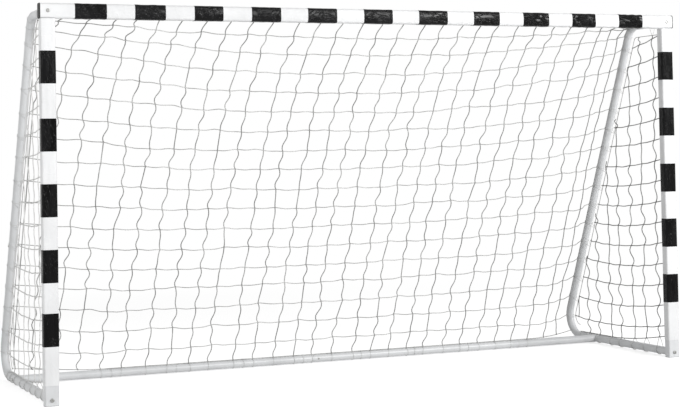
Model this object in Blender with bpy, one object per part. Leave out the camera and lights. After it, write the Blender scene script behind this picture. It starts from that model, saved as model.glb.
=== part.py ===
# Garden soccer goal: a bolted steel frame, vinyl sleeves round its front, and a laced net.
# Metres, Z up. X runs along the crossbar, Y from the mouth to the back, the ground is Z = 0,
# and the origin is under the middle of the goal.

import math

import bmesh
import bpy
from mathutils import Vector

# Overall size
goal_width = 3.000            # over the crossbar's end caps
goal_height = 1.600           # ground to the top of the black bands
goal_depth = 0.950            # face of the bolt heads to the back of the side tubes
gap = 0.0003                  # left between two pieces that touch

# Rectangular steel tube of the front frame
steel_width = 0.058           # across a post, and up the crossbar
steel_depth = 0.038           # from the front of the goal to the back
steel_wall = 0.0012
crossbar_corner = 0.011
post_corner = 0.007
corner_steps = 2
joiner_wall = 0.0015
crossbar_joiner_length = 0.300
post_joiner_length = 0.200
post_seam_height = 0.800
crossbar_seam = 0.0           # from the middle of the goal, along X

# Vinyl sleeves and the black bands round them
sleeve_wall = 0.0012
band_wall = 0.0005
foot_bare = 0.081             # steel left bare at the foot of a post
band_length = 0.128
crossbar_bands = 11
crossbar_band_pitch = 0.2570
crossbar_first_band = 0.136   # from the left end of the crossbar
post_bands = 5
post_band_pitch = 0.2605
left_post_first_band = 0.196  # from the top of the goal
right_post_first_band = 0.174
seam_strip_width = 0.020      # black strip along the back that joins a member's bands

# End caps, foot plugs and corner inserts
cap_flange = 0.003
cap_boss = 0.008
foot_flange = 0.002
foot_boss = 0.008
plug_wall = 0.003
insert_body_length = 0.110
insert_neck_width = 0.032
insert_neck_depth = 0.015
insert_bore_width = 0.022
insert_bore_depth = 0.009
insert_top_step = 0.001

# Round steel tube of the side frames and the rear bar
tube_radius = 0.019
tube_wall = 0.0012
tube_sides = 12
stub_reach = 0.305            # sleeve face to the corner where stub and slant would meet
top_bend_radius = 0.080
rear_bend_radius = 0.100
top_bend_steps = 5
rear_bend_steps = 8
side_seam_height = 0.620
swage_length = 0.060
swage_cone = 0.006
rear_bar_inset = 0.2647       # back of the goal to the middle of the rear bar
rear_bar_seam = -0.080        # from the middle of the goal, along X
rear_bar_cope = 0.006         # how far short of the side tube's axis the bar is cut

# Bolts, end plugs and joint screws
bolt_radius = 0.004
head_radius = 0.0080
head_height = 0.005
head_top_radius = 0.0055
bolt_sides = 10
end_plug_length = 0.014
end_plug_inset = 0.001
screw_radius = 0.0024
screw_head_radius = 0.0046
screw_head_height = 0.0028
screw_head_top_radius = 0.0028
screw_depth = 0.0060
screw_from_seam = 0.023

# Net, its ties and its hooks
strand = 0.0026
back_columns = 19
back_rows = 11
side_columns = 5
side_rows = 10
net_edge_room = 0.001
knot_offset = 0.0008          # knots sit this far to one side and the other of a straight line
back_sag = 0.012              # how far the middle of the back panel hangs below a straight line
side_sag = 0.010              # how far the middle of a side panel hangs in towards the goal
lace_thickness = 0.0022
lace_tube_points = 8
lace_strand_points = 3
hook_width = 0.008
hook_strip_thickness = 0.002
hook_strip_end = 0.020        # strip beyond its last hook
hook_seat = 0.006             # back of the strip to the middle of the net's edge strand
hook_reach = 0.0125
hook_arm = 0.003
hook_tip = 0.0025
hook_tip_height = 0.007

# Sizes that follow from those above
steel_half = steel_width / 2
narrower = (steel_width - steel_depth) / 2     # half the width less half the depth
steel_inner_half = steel_half - steel_wall
sleeve_half = steel_half + gap + sleeve_wall
band_half = sleeve_half + gap + band_wall
front_y = -goal_depth / 2
back_y = goal_depth / 2
face_y = front_y + head_height + gap
frame_y = face_y + sleeve_half - narrower
sleeve_back_y = frame_y + sleeve_half - narrower
strip_back_y = frame_y + band_half - narrower + gap
crossbar_z = goal_height - band_half
crossbar_end = goal_width / 2 - cap_flange - gap
post_x = crossbar_end - sleeve_half
post_top = crossbar_z - sleeve_half - gap
post_foot = foot_flange + gap
hole_radius = bolt_radius + gap
end_plug_radius = tube_radius - tube_wall - gap
tube_flat = tube_radius * math.cos(math.pi / tube_sides)
lace_corner = (tube_radius + gap + lace_thickness / 2) / math.cos(math.pi / (lace_tube_points - 1))
rail_z = lace_corner + lace_thickness / 2      # the laces pass under the ground tubes
rail_end_y = frame_y + steel_depth / 2 + gap
rear_bar_y = back_y - rear_bar_inset
strand_offset = tube_radius + gap + strand / 2 + knot_offset


# Materials

def make_material(name, colour, roughness, metallic):
    material = bpy.data.materials.new(name)
    material.use_nodes = True
    shader = material.node_tree.nodes["Principled BSDF"]
    shader.inputs["Base Color"].default_value = (*colour, 1.0)
    shader.inputs["Roughness"].default_value = roughness
    shader.inputs["Metallic"].default_value = metallic
    return material


def paint(name, colour, roughness, metallic=0.0):
    # Every sub-part has a material of its own, made from a named finish.
    finish = dict(colour=colour, roughness=roughness, metallic=metallic)
    return lambda part: make_material(part + "_" + name, **finish)


powder_coat = paint("powder_coat", (0.80, 0.81, 0.82), 0.38)
bare_steel = paint("bare_steel", (0.52, 0.53, 0.54), 0.42, 0.9)
white_vinyl = paint("white_vinyl", (0.90, 0.90, 0.90), 0.35)
black_vinyl = paint("black_vinyl", (0.015, 0.015, 0.016), 0.22)
black_plastic = paint("black_plastic", (0.02, 0.02, 0.02), 0.45)
grey_plastic = paint("grey_plastic", (0.45, 0.46, 0.47), 0.50)
white_plastic = paint("white_plastic", (0.86, 0.86, 0.85), 0.40)
zinc_plate = paint("zinc_plate", (0.60, 0.60, 0.58), 0.30, 1.0)
white_twine = paint("white_twine", (0.84, 0.84, 0.82), 0.85)


# Mesh building

def finish(mesh_builder, name, material, smooth_angle=35):
    bmesh.ops.recalc_face_normals(mesh_builder, faces=mesh_builder.faces)
    mesh = bpy.data.meshes.new(name)
    mesh_builder.to_mesh(mesh)
    mesh_builder.free()
    mesh.shade_smooth()
    mesh.set_sharp_from_angle(angle=math.radians(smooth_angle))
    mesh.materials.append(material(name))
    part = bpy.data.objects.new(name, mesh)
    bpy.context.scene.collection.objects.link(part)
    return part


def bridge(mesh_builder, first, second):
    # Quads between two loops of vertices that run the same way.
    for i in range(len(first)):
        mesh_builder.faces.new((first[i - 1], first[i], second[i], second[i - 1]))


def add_loops(mesh_builder, loops):
    return [[mesh_builder.verts.new(point) for point in loop] for loop in loops]


def add_shell(mesh_builder, loops):
    # A closed run of loops, such as out along a tube's outside and back along its bore.
    rings = add_loops(mesh_builder, loops)
    for i in range(len(rings)):
        bridge(mesh_builder, rings[i - 1], rings[i])


def add_solid(mesh_builder, loops):
    # A run of loops with a face over each end.
    rings = add_loops(mesh_builder, loops)
    for i in range(1, len(rings)):
        bridge(mesh_builder, rings[i - 1], rings[i])
    mesh_builder.faces.new(rings[0])
    mesh_builder.faces.new(rings[-1])


def rounded_box(half_depth, half_width, radius):
    # Points round a rectangle with its corners rounded to radius, the depth first.
    points = []
    inset, inset_across = half_depth - radius, half_width - radius
    for corner, (sx, sy) in enumerate(((1, 1), (-1, 1), (-1, -1), (1, -1))):
        for step in range(corner_steps + 1):
            angle = math.radians(90 * (corner + step / corner_steps))
            points.append((sx * inset + radius * math.cos(angle),
                           sy * inset_across + radius * math.sin(angle)))
    return points


def section(half, radius):
    # A front member's outline, half of it wide on each side of its axis and less than that deep.
    return rounded_box(half - narrower, half, radius)


def circle(radius, sides):
    # Half a step of turn puts a flat side, not a corner, at each quarter of a 12-sided tube.
    angles = [2 * math.pi * (i + 0.5) / sides for i in range(sides)]
    return [(radius * math.cos(angle), radius * math.sin(angle)) for angle in angles]


def place(loop, origin, across, up):
    # Puts a flat loop into space, on the axes across and up.
    origin, across, up = Vector(origin), Vector(across), Vector(up)
    return [origin + across * a + up * b for a, b in loop]


x_axis, y_axis, z_axis = (1, 0, 0), (0, 1, 0), (0, 0, 1)


def across_and_up(direction):
    # Axes square to a level direction, so that a piece and its hole line up.
    across = Vector(z_axis).cross(direction)
    return across, Vector(direction).cross(across)


def along_x(loop, x):
    return place(loop, (x, frame_y, crossbar_z), y_axis, z_axis)


def along_z(loop, x, z):
    return place(loop, (x, frame_y, z), y_axis, x_axis)


def ring_of(outer, inner, station, start, end):
    # The four loops of a straight hollow piece; station puts a loop at a place on its axis.
    return [station(outer, start), station(outer, end), station(inner, end), station(inner, start)]


# Cutters and holes

def cutter(name, loops):
    mesh_builder = bmesh.new()
    add_solid(mesh_builder, loops)
    bmesh.ops.recalc_face_normals(mesh_builder, faces=mesh_builder.faces)
    mesh = bpy.data.meshes.new(name)
    mesh_builder.to_mesh(mesh)
    mesh_builder.free()
    tool = bpy.data.objects.new(name, mesh)
    bpy.context.scene.collection.objects.link(tool)
    tool.hide_render = True
    tool.display_type = "WIRE"
    return tool


def drill(name, start, end, radius, sides=bolt_sides):
    # A round cutter between two points.
    start, end = Vector(start), Vector(end)
    across, up = across_and_up((end - start).normalized())
    loop = circle(radius, sides)
    return cutter(name, [place(loop, start, across, up), place(loop, end, across, up)])


def cut(part, tool):
    modifier = part.modifiers.new(tool.name, "BOOLEAN")
    modifier.operation = "DIFFERENCE"
    modifier.solver = "EXACT"
    modifier.object = tool


def left_or_right(side):
    return "left" if side < 0 else "right"


# Front frame

def make_crossbar():
    outer = section(steel_half, crossbar_corner)
    inner = section(steel_inner_half, crossbar_corner - steel_wall)
    halves = {-1: (-crossbar_end, crossbar_seam - gap / 2),
              1: (crossbar_seam + gap / 2, crossbar_end)}
    for side, (start, end) in halves.items():
        mesh_builder = bmesh.new()
        add_shell(mesh_builder, ring_of(outer, inner, along_x, start, end))
        bar = finish(mesh_builder, "crossbar_" + left_or_right(side), powder_coat)
        cut(bar, top_bolt_holes[side])
        cut(bar, neck_openings[side])


def make_crossbar_joiner():
    half = steel_inner_half - gap
    corner = crossbar_corner - steel_wall - gap
    outer = section(half, corner)
    inner = section(half - joiner_wall, corner - joiner_wall)
    reach = crossbar_joiner_length / 2
    mesh_builder = bmesh.new()
    add_shell(mesh_builder, ring_of(outer, inner, along_x,
                                    crossbar_seam - reach, crossbar_seam + reach))
    finish(mesh_builder, "crossbar_joiner", bare_steel)


def make_crossbar_caps():
    # A flange over the end of the bar and its sleeve, and a boss inside the bar.
    flange = section(band_half, crossbar_corner + band_half - steel_half)
    boss = section(steel_inner_half - gap, crossbar_corner - steel_wall - gap)
    for side in (-1, 1):
        outside = side * goal_width / 2
        shoulder = side * (goal_width / 2 - cap_flange)
        inside = side * (goal_width / 2 - cap_flange - cap_boss)
        mesh_builder = bmesh.new()
        add_solid(mesh_builder, [along_x(flange, outside), along_x(flange, shoulder),
                                 along_x(boss, shoulder), along_x(boss, inside)])
        finish(mesh_builder, "crossbar_cap_" + left_or_right(side), black_plastic)


def make_posts():
    outer = section(steel_half, post_corner)
    inner = section(steel_inner_half, post_corner - steel_wall)
    spans = {"lower": (post_foot, post_seam_height - gap / 2),
             "upper": (post_seam_height + gap / 2, post_top)}
    for side in (-1, 1):
        for half_name, (start, end) in spans.items():
            mesh_builder = bmesh.new()
            add_shell(mesh_builder, ring_of(
                outer, inner, lambda loop, z: along_z(loop, side * post_x, z), start, end))
            name = "post_" + left_or_right(side) + "_" + half_name
            post = finish(mesh_builder, name, powder_coat)
            if half_name == "lower":
                cut(post, foot_bolt_holes[side])


def make_post_joiners():
    half = steel_inner_half - gap
    corner = post_corner - steel_wall - gap
    outer = section(half, corner)
    inner = section(half - joiner_wall, corner - joiner_wall)
    reach = post_joiner_length / 2
    for side in (-1, 1):
        mesh_builder = bmesh.new()
        add_shell(mesh_builder, ring_of(
            outer, inner, lambda loop, z: along_z(loop, side * post_x, z),
            post_seam_height - reach, post_seam_height + reach))
        finish(mesh_builder, "post_" + left_or_right(side) + "_joiner", bare_steel)


def make_foot_plugs():
    # A tread under the post and a short hollow boss inside it, below the bolt.
    half = steel_inner_half - gap
    corner = post_corner - steel_wall - gap
    tread = section(steel_half, post_corner)
    boss = section(half, corner)
    well = section(half - plug_wall, corner / 2)
    top = foot_flange + foot_boss
    for side in (-1, 1):
        x = side * post_x
        mesh_builder = bmesh.new()
        add_solid(mesh_builder, [along_z(tread, x, 0), along_z(tread, x, foot_flange),
                                 along_z(boss, x, foot_flange), along_z(boss, x, top),
                                 along_z(well, x, top), along_z(well, x, foot_flange)])
        finish(mesh_builder, "post_foot_plug_" + left_or_right(side), grey_plastic)


def make_corner_inserts():
    # A body inside the top of the post, and a neck up into the crossbar for the top bolt.
    body_half = steel_inner_half - gap
    body = section(body_half, post_corner - steel_wall - gap)
    neck = rounded_box(insert_neck_depth / 2, insert_neck_width / 2, plug_wall)
    bore = rounded_box(insert_bore_depth / 2, insert_bore_width / 2, plug_wall / 2)
    shoulder = post_top - insert_top_step
    bottom = shoulder - insert_body_length
    top = crossbar_z + steel_inner_half - gap
    for side in (-1, 1):
        x = side * post_x
        mesh_builder = bmesh.new()
        add_shell(mesh_builder, [along_z(body, x, bottom), along_z(body, x, shoulder),
                                 along_z(neck, x, shoulder), along_z(neck, x, top),
                                 along_z(bore, x, top), along_z(bore, x, bottom)])
        insert = finish(mesh_builder, "corner_insert_" + left_or_right(side), bare_steel)
        cut(insert, top_bolt_holes[side])


# Sleeves and bands

def make_crossbar_sleeve():
    outer = section(sleeve_half, crossbar_corner + sleeve_half - steel_half)
    inner = section(steel_half + gap, crossbar_corner + gap)
    mesh_builder = bmesh.new()
    add_shell(mesh_builder, ring_of(outer, inner, along_x, -crossbar_end, crossbar_end))
    sleeve = finish(mesh_builder, "crossbar_sleeve", white_vinyl)
    for side in (-1, 1):
        cut(sleeve, top_bolt_holes[side])
        cut(sleeve, neck_openings[side])


def make_post_sleeves():
    outer = section(sleeve_half, post_corner + sleeve_half - steel_half)
    inner = section(steel_half + gap, post_corner + gap)
    for side in (-1, 1):
        mesh_builder = bmesh.new()
        add_shell(mesh_builder, ring_of(
            outer, inner, lambda loop, z: along_z(loop, side * post_x, z), foot_bare, post_top))
        finish(mesh_builder, "post_" + left_or_right(side) + "_sleeve", white_vinyl)


def add_bands(mesh_builder, spans, corner, station):
    # Rings round the sleeve, joined behind by a strip. The first and last points of each loop
    # are the strip's edges, so a ring's end face is left open there and the strip carries on.
    edge = seam_strip_width / 2

    def loop(half):
        points = section(half, corner + half - steel_half)
        return [(half - narrower, edge)] + points + [(half - narrower, -edge)]

    outer, inner = loop(band_half), loop(sleeve_half + gap)
    before = None
    for start, end in spans:
        near_out, far_out, far_in, near_in = add_loops(
            mesh_builder, ring_of(outer, inner, station, start, end))
        bridge(mesh_builder, near_out, far_out)
        bridge(mesh_builder, far_in, near_in)
        for rim_in, rim_out in ((near_in, near_out), (far_out, far_in)):
            for i in range(1, len(rim_in)):
                mesh_builder.faces.new((rim_in[i - 1], rim_in[i], rim_out[i], rim_out[i - 1]))
        corners = [near_out[-1], near_out[0], near_in[0], near_in[-1]]
        if before is None:
            mesh_builder.faces.new(corners)
        else:
            bridge(mesh_builder, before, corners)
        before = [far_out[-1], far_out[0], far_in[0], far_in[-1]]
    mesh_builder.faces.new(before)


def make_crossbar_bands():
    starts = [-goal_width / 2 + crossbar_first_band + i * crossbar_band_pitch
              for i in range(crossbar_bands)]
    mesh_builder = bmesh.new()
    add_bands(mesh_builder, [(start, start + band_length) for start in starts],
              crossbar_corner, along_x)
    finish(mesh_builder, "crossbar_bands", black_vinyl)


def make_post_bands():
    first_bands = {-1: left_post_first_band, 1: right_post_first_band}
    for side in (-1, 1):
        tops = [goal_height - first_bands[side] - i * post_band_pitch
                for i in range(post_bands)]
        mesh_builder = bmesh.new()
        add_bands(mesh_builder, [(top, top - band_length) for top in tops],
                  post_corner, lambda loop, z: along_z(loop, side * post_x, z))
        finish(mesh_builder, "post_" + left_or_right(side) + "_bands", black_vinyl)


# Side frames
# A side frame lies in the plane of its post. It leaves the back of the crossbar level, bends
# down, slants to the ground, and bends forward along the ground to the foot of the post.
# The slant is the line from the stub's corner that just touches the rear bend's circle.

stub_corner = (face_y + stub_reach, crossbar_z)
rear_bend_centre = (back_y - tube_flat - rear_bend_radius, rail_z + rear_bend_radius)
corner_to_bend = (rear_bend_centre[0] - stub_corner[0], stub_corner[1] - rear_bend_centre[1])
slant = (math.atan2(corner_to_bend[0], corner_to_bend[1])
         + math.asin(rear_bend_radius / math.hypot(*corner_to_bend)))  # from the vertical
slant_heading = slant - math.pi / 2
top_bend_turn = math.pi / 2 - slant
top_bend_centre = (stub_corner[0] - top_bend_radius * math.tan(top_bend_turn / 2),
                   crossbar_z - top_bend_radius)


def bend_point(centre, radius, heading):
    # Where a tube that turns down round centre points along heading.
    return (centre[0] - radius * math.sin(heading), centre[1] + radius * math.cos(heading))


def bend_stations(centre, radius, start, end, steps):
    headings = [start + (end - start) * i / steps for i in range(steps + 1)]
    return [(*bend_point(centre, radius, heading), heading) for heading in headings]


slant_top = bend_point(top_bend_centre, top_bend_radius, slant_heading)


def slant_point(z):
    # The slanted tube's axis at height z, as Y and Z.
    return (slant_top[0] + (slant_top[1] - z) * math.tan(slant), z)


def down_slant(point, distance):
    return (point[0] + distance * math.sin(slant), point[1] - distance * math.cos(slant))


def tube_loop(side, station, radius):
    y, z, heading = station
    up = (0, -math.sin(heading), math.cos(heading))
    return place(circle(radius, tube_sides), (side * post_x, y, z), x_axis, up)


def add_side_tube(mesh_builder, side, stations):
    # Stations hold Y, Z, heading, outer radius and bore radius.
    outside = [tube_loop(side, station[:3], station[3]) for station in stations]
    bore = [tube_loop(side, station[:3], station[4]) for station in reversed(stations)]
    add_shell(mesh_builder, outside + bore)


bore_radius = tube_radius - tube_wall
swage_radius = bore_radius - gap
swage_bore = swage_radius - tube_wall
side_seam = slant_point(side_seam_height)


def side_upper_stations():
    full = (tube_radius, bore_radius)
    stations = [(sleeve_back_y + gap, crossbar_z, 0.0, *full)]
    for station in bend_stations(top_bend_centre, top_bend_radius, 0.0, slant_heading,
                                 top_bend_steps):
        stations.append((*station, *full))
    shoulder = down_slant(side_seam, -swage_cone)
    spigot = down_slant(side_seam, 0.0)
    end = down_slant(side_seam, swage_length)
    stations.append((*shoulder, slant_heading, *full))
    stations.append((*spigot, slant_heading, swage_radius, swage_bore))
    stations.append((*end, slant_heading, swage_radius, swage_bore))
    return stations


def side_lower_stations():
    full = (tube_radius, bore_radius)
    start = down_slant(side_seam, gap)
    stations = [(*start, slant_heading, *full)]
    for station in bend_stations(rear_bend_centre, rear_bend_radius, slant_heading, -math.pi,
                                 rear_bend_steps):
        stations.append((*station, *full))
    stations.append((rail_end_y, rail_z, -math.pi, *full))
    return stations


def make_side_frames():
    for side in (-1, 1):
        mesh_builder = bmesh.new()
        add_side_tube(mesh_builder, side, side_upper_stations())
        upper = finish(mesh_builder, "side_upper_" + left_or_right(side), powder_coat)
        cut(upper, side_screw_holes[side])
        mesh_builder = bmesh.new()
        add_side_tube(mesh_builder, side, side_lower_stations())
        lower = finish(mesh_builder, "side_lower_" + left_or_right(side), powder_coat)
        cut(lower, side_screw_holes[side])
        cut(lower, rear_bolt_holes[side])


# Rear ground bar

bar_end = post_x - rear_bar_cope


def bar_loop(radius, x):
    return place(circle(radius, tube_sides), (x, rear_bar_y, rail_z), y_axis, z_axis)


def make_rear_bar():
    # The left half ends in a swaged spigot inside the right half. Both outer ends are coped
    # to the side tubes.
    spigot_end = rear_bar_seam + swage_length
    shoulder = rear_bar_seam - swage_cone
    mesh_builder = bmesh.new()
    add_shell(mesh_builder, [
        bar_loop(tube_radius, -bar_end), bar_loop(tube_radius, shoulder),
        bar_loop(swage_radius, rear_bar_seam), bar_loop(swage_radius, spigot_end),
        bar_loop(swage_bore, spigot_end), bar_loop(swage_bore, rear_bar_seam),
        bar_loop(bore_radius, shoulder), bar_loop(bore_radius, -bar_end)])
    left = finish(mesh_builder, "rear_bar_left", powder_coat)
    mesh_builder = bmesh.new()
    start = rear_bar_seam + gap
    add_shell(mesh_builder, [
        bar_loop(tube_radius, start), bar_loop(tube_radius, bar_end),
        bar_loop(bore_radius, bar_end), bar_loop(bore_radius, start)])
    right = finish(mesh_builder, "rear_bar_right", powder_coat)
    for bar, side in ((left, -1), (right, 1)):
        cut(bar, bar_copes[side])
        cut(bar, bar_screw_hole)


# End plugs, bolts and screws

def add_end_plug(mesh_builder, end, inward):
    # A threaded plug just inside the open end of a round tube; inward points into the tube.
    inward = Vector(inward)
    across, up = across_and_up(inward)
    outer = circle(end_plug_radius, tube_sides)
    bore = circle(hole_radius, tube_sides)
    near = Vector(end) + inward * end_plug_inset
    far = near + inward * end_plug_length
    add_shell(mesh_builder, [place(outer, near, across, up), place(outer, far, across, up),
                             place(bore, far, across, up), place(bore, near, across, up)])


stub_end = (sleeve_back_y + gap, crossbar_z)
bar_plug_face = post_x - tube_radius - gap


def make_end_plugs():
    for side in (-1, 1):
        x = side * post_x
        places = {"top": ((x, *stub_end), (0, 1, 0)),
                  "foot": ((x, rail_end_y, rail_z), (0, 1, 0)),
                  "rear": ((side * bar_plug_face, rear_bar_y, rail_z), (-side, 0, 0))}
        for where, (end, inward) in places.items():
            mesh_builder = bmesh.new()
            add_end_plug(mesh_builder, end, inward)
            finish(mesh_builder, where + "_end_plug_" + left_or_right(side), bare_steel)


def add_bolt(mesh_builder, seat, direction, length, radius, head, height, crown):
    # A domed head standing off its seat, and a plain shank of the given length beyond it.
    seat, direction = Vector(seat), Vector(direction)
    across, up = across_and_up(direction)
    stations = [(-height, crown), (-height * 0.45, head), (0.0, head), (0.0, radius),
                (length, radius)]
    add_solid(mesh_builder, [place(circle(r, bolt_sides), seat + direction * d, across, up)
                             for d, r in stations])


def make_bolts():
    plug_reach = end_plug_inset + end_plug_length
    top_seat = face_y - gap
    foot_seat = frame_y - steel_depth / 2 - gap
    rear_seat = post_x + tube_radius + gap
    for side in (-1, 1):
        x = side * post_x
        bolts = {
            "top": ((x, top_seat, crossbar_z), (0, 1, 0), stub_end[0] + plug_reach - top_seat),
            "foot": ((x, foot_seat, rail_z), (0, 1, 0), rail_end_y + plug_reach - foot_seat),
            "rear": ((side * rear_seat, rear_bar_y, rail_z), (-side, 0, 0),
                     rear_seat - bar_plug_face + plug_reach),
        }
        for where, (seat, direction, length) in bolts.items():
            mesh_builder = bmesh.new()
            add_bolt(mesh_builder, seat, direction, length, bolt_radius, head_radius,
                     head_height, head_top_radius)
            finish(mesh_builder, where + "_bolt_" + left_or_right(side), zinc_plate)


side_screw_centre = down_slant(side_seam, screw_from_seam)
bar_screw_x = rear_bar_seam + screw_from_seam


def make_joint_screws():
    # One screw through each swaged joint: on the outer face of a side tube, and on the front
    # of the rear bar.
    seat = tube_radius + gap
    screws = {"rear_bar_screw": ((bar_screw_x, rear_bar_y - seat, rail_z), (0, 1, 0))}
    for side in (-1, 1):
        screws["side_joint_screw_" + left_or_right(side)] = (
            (side * (post_x + seat), *side_screw_centre), (-side, 0, 0))
    for name, (place_of_head, direction) in screws.items():
        mesh_builder = bmesh.new()
        add_bolt(mesh_builder, place_of_head, direction, screw_depth, screw_radius,
                 screw_head_radius, screw_head_height, screw_head_top_radius)
        finish(mesh_builder, name, zinc_plate)


# Net
# Each panel is a flat lattice of strands. Two grid lines run along every strand, one on each
# of its sides, and the faces between strands are left out. Strands bend a little at each knot.

def add_lattice(mesh_builder, columns, rows, at, thickness):
    def corner(i, j):
        column, row = i // 2, j // 2
        pull = knot_offset if (column + row) % 2 else -knot_offset
        return at(column / columns, row / rows, strand / 2 * (i % 2 * 2 - 1) + pull,
                  strand / 2 * (j % 2 * 2 - 1) + pull)

    grid = [[mesh_builder.verts.new(corner(i, j)) for j in range(2 * rows + 2)]
            for i in range(2 * columns + 2)]
    faces = []
    for i in range(2 * columns + 1):
        for j in range(2 * rows + 1):
            if i % 2 == 0 or j % 2 == 0:
                faces.append(mesh_builder.faces.new((grid[i][j], grid[i + 1][j],
                                                     grid[i + 1][j + 1], grid[i][j + 1])))
    grown = bmesh.ops.extrude_face_region(mesh_builder, geom=faces)["geom"]
    moved = [item for item in grown if isinstance(item, bmesh.types.BMVert)]
    bmesh.ops.translate(mesh_builder, verts=moved, vec=thickness)


edge_y = strip_back_y + hook_seat
back_edge_x = post_x - strand_offset - net_edge_room
back_top = Vector((0, edge_y, crossbar_z))
bar_centre = Vector((0, rear_bar_y, rail_z))
back_down = (bar_centre - back_top).normalized()
back_bottom = bar_centre - back_down * strand_offset
back_length = (back_bottom - back_top).length
back_normal = Vector((1, 0, 0)).cross(back_down)


def make_net_back():
    # The back panel hangs from the crossbar's hooks straight down to the rear bar.
    def at(across, down, side_step, down_step):
        x = -back_edge_x + 2 * back_edge_x * across + side_step
        sag = back_sag * math.sin(math.pi * across) * math.sin(math.pi * down)
        middle = back_top + back_down * (back_length * down + down_step)
        return Vector((x, 0, 0)) + middle - back_normal * (strand / 2 + sag)

    mesh_builder = bmesh.new()
    add_lattice(mesh_builder, back_columns, back_rows, at, back_normal * strand)
    finish(mesh_builder, "net_back", white_twine)


side_top_z = crossbar_z - strand_offset
side_bottom_z = rail_z + strand_offset


def side_net_back_y(z):
    # The net's rear edge follows the inside of the bent tube.
    top_reach = top_bend_radius - strand_offset
    rear_reach = rear_bend_radius - strand_offset
    if z > top_bend_centre[1] + top_reach * math.sin(slant):
        rise = z - top_bend_centre[1]
        return top_bend_centre[0] + math.sqrt(max(top_reach ** 2 - rise ** 2, 0))
    if z < rear_bend_centre[1] + rear_reach * math.sin(slant):
        rise = z - rear_bend_centre[1]
        return rear_bend_centre[0] + math.sqrt(max(rear_reach ** 2 - rise ** 2, 0))
    return slant_point(z)[0] - strand_offset / math.cos(slant)


def side_row_z(row):
    return side_top_z + (side_bottom_z - side_top_z) * row / side_rows


def make_side_nets():
    # A side panel fills the side frame, from the hooks on the post to the bent tube.
    def at(side, across, down, side_step, down_step):
        z = side_row_z(down * side_rows)
        y = edge_y + (side_net_back_y(z) - edge_y) * across
        sag = side_sag * math.sin(math.pi * across) * math.sin(math.pi * down)
        return Vector((side * (post_x - sag) - strand / 2, y + side_step, z - down_step))

    for side in (-1, 1):
        mesh_builder = bmesh.new()
        add_lattice(mesh_builder, side_columns, side_rows,
                    lambda *steps: at(side, *steps), Vector((strand, 0, 0)))
        finish(mesh_builder, "net_side_" + left_or_right(side), white_twine)


# Lacing
# A lace winds along a tube and takes in the net's edge strand beside it at every turn. It
# passes the net in the middle of a mesh, clear of the strands that cross the edge.

def lace_turn():
    # One turn seen along the tube, with the net's strand at +A: an arc round the tube, an arc
    # round the strand, and the two straight tangents between them. The corners stand far
    # enough out for the flats between them to clear the tube.
    big = tube_radius + gap + lace_thickness / 2
    small = strand / 2 * math.sqrt(2) + gap + lace_thickness / 2
    opening = math.acos((big - small) / strand_offset)
    step = (2 * math.pi - 2 * opening) / (lace_tube_points - 1)
    reach = big / math.cos(step / 2)
    turn = []
    for i in range(lace_tube_points):
        angle = opening + step * i
        turn.append((reach * math.cos(angle), reach * math.sin(angle)))
    for i in range(lace_strand_points):
        angle = opening * (2 * (i + 0.5) / lace_strand_points - 1)
        turn.append((strand_offset + small * math.cos(angle), small * math.sin(angle)))
    return turn


def lace_path(first, towards_net, pitch, turns, winding):
    # The pitch vector runs along the tube; first is the tube's axis beside the first turn.
    # A winding of 1 or -1 makes the two sides of the goal mirror images.
    first, pitch = Vector(first), Vector(pitch)
    towards_net = Vector(towards_net).normalized()
    beside = pitch.normalized().cross(towards_net) * winding
    turn = lace_turn()
    passing = lace_tube_points + lace_strand_points // 2
    last_arc = lace_tube_points // 2      # it starts and ends behind the tube
    return [first + towards_net * turn[i % len(turn)][0] + beside * turn[i % len(turn)][1]
            + pitch * ((i - passing) / len(turn))
            for i in range(last_arc, turns * len(turn) + last_arc)]


def least_gap(path, points_per_turn):
    # From one turn to the next, surface to surface, measured on the points of the path.
    apart = [(path[i] - path[j]).length
             for i in range(len(path)) for j in range(i + points_per_turn // 2, len(path))]
    return min(apart) - lace_thickness


def make_lace(name, first, towards_net, pitch, turns, winding=1):
    path = lace_path(first, towards_net, pitch, turns, winding)
    along_tube = Vector(pitch).normalized()
    loops = []
    for i, point in enumerate(path):
        tangent = (path[min(i + 1, len(path) - 1)] - path[max(i - 1, 0)]).normalized()
        axis_point = Vector(first) + along_tube * (point - Vector(first)).dot(along_tube)
        outward = point - axis_point
        outward = (outward - tangent * outward.dot(tangent)).normalized()
        beside = tangent.cross(outward)
        loops.append([point + (outward * math.cos(angle) + beside * math.sin(angle))
                      * (lace_thickness / 2)
                      for angle in (math.radians(60), math.radians(180), math.radians(300))])
    mesh_builder = bmesh.new()
    add_solid(mesh_builder, loops)
    finish(mesh_builder, name, white_twine, 75)
    print(f"{name}: {turns} turns, least gap {1000 * least_gap(path, len(lace_turn())):.1f} mm")


def make_laces():
    column = 2 * back_edge_x / back_columns
    turns = back_columns // 2
    make_lace("lace_rear_bar", (-back_edge_x + 1.5 * column, rear_bar_y, rail_z),
              -back_down, (2 * column, 0, 0), turns)
    rail_column = (rear_bend_centre[0] - edge_y) / side_columns
    row = (side_top_z - side_bottom_z) / side_rows
    into_frame = (0, -math.cos(slant), -math.sin(slant))
    down_tube = Vector((0, math.sin(slant), -math.cos(slant)))
    for side in (-1, 1):
        label = left_or_right(side)
        make_lace("lace_rail_" + label, (side * post_x, edge_y + rail_column / 2, rail_z),
                  z_axis, (0, rail_column, 0), side_columns, -side)
        # A turn is square to the tube, so its middle is set back along the tube.
        beside_row = side_row_z(1.5) + strand_offset * math.sin(slant)
        make_lace("lace_slant_" + label, (side * post_x, *slant_point(beside_row)),
                  into_frame, down_tube * (2 * row / math.cos(slant)), side_rows // 2 - 1,
                  -side)


# Hook strips

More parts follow.
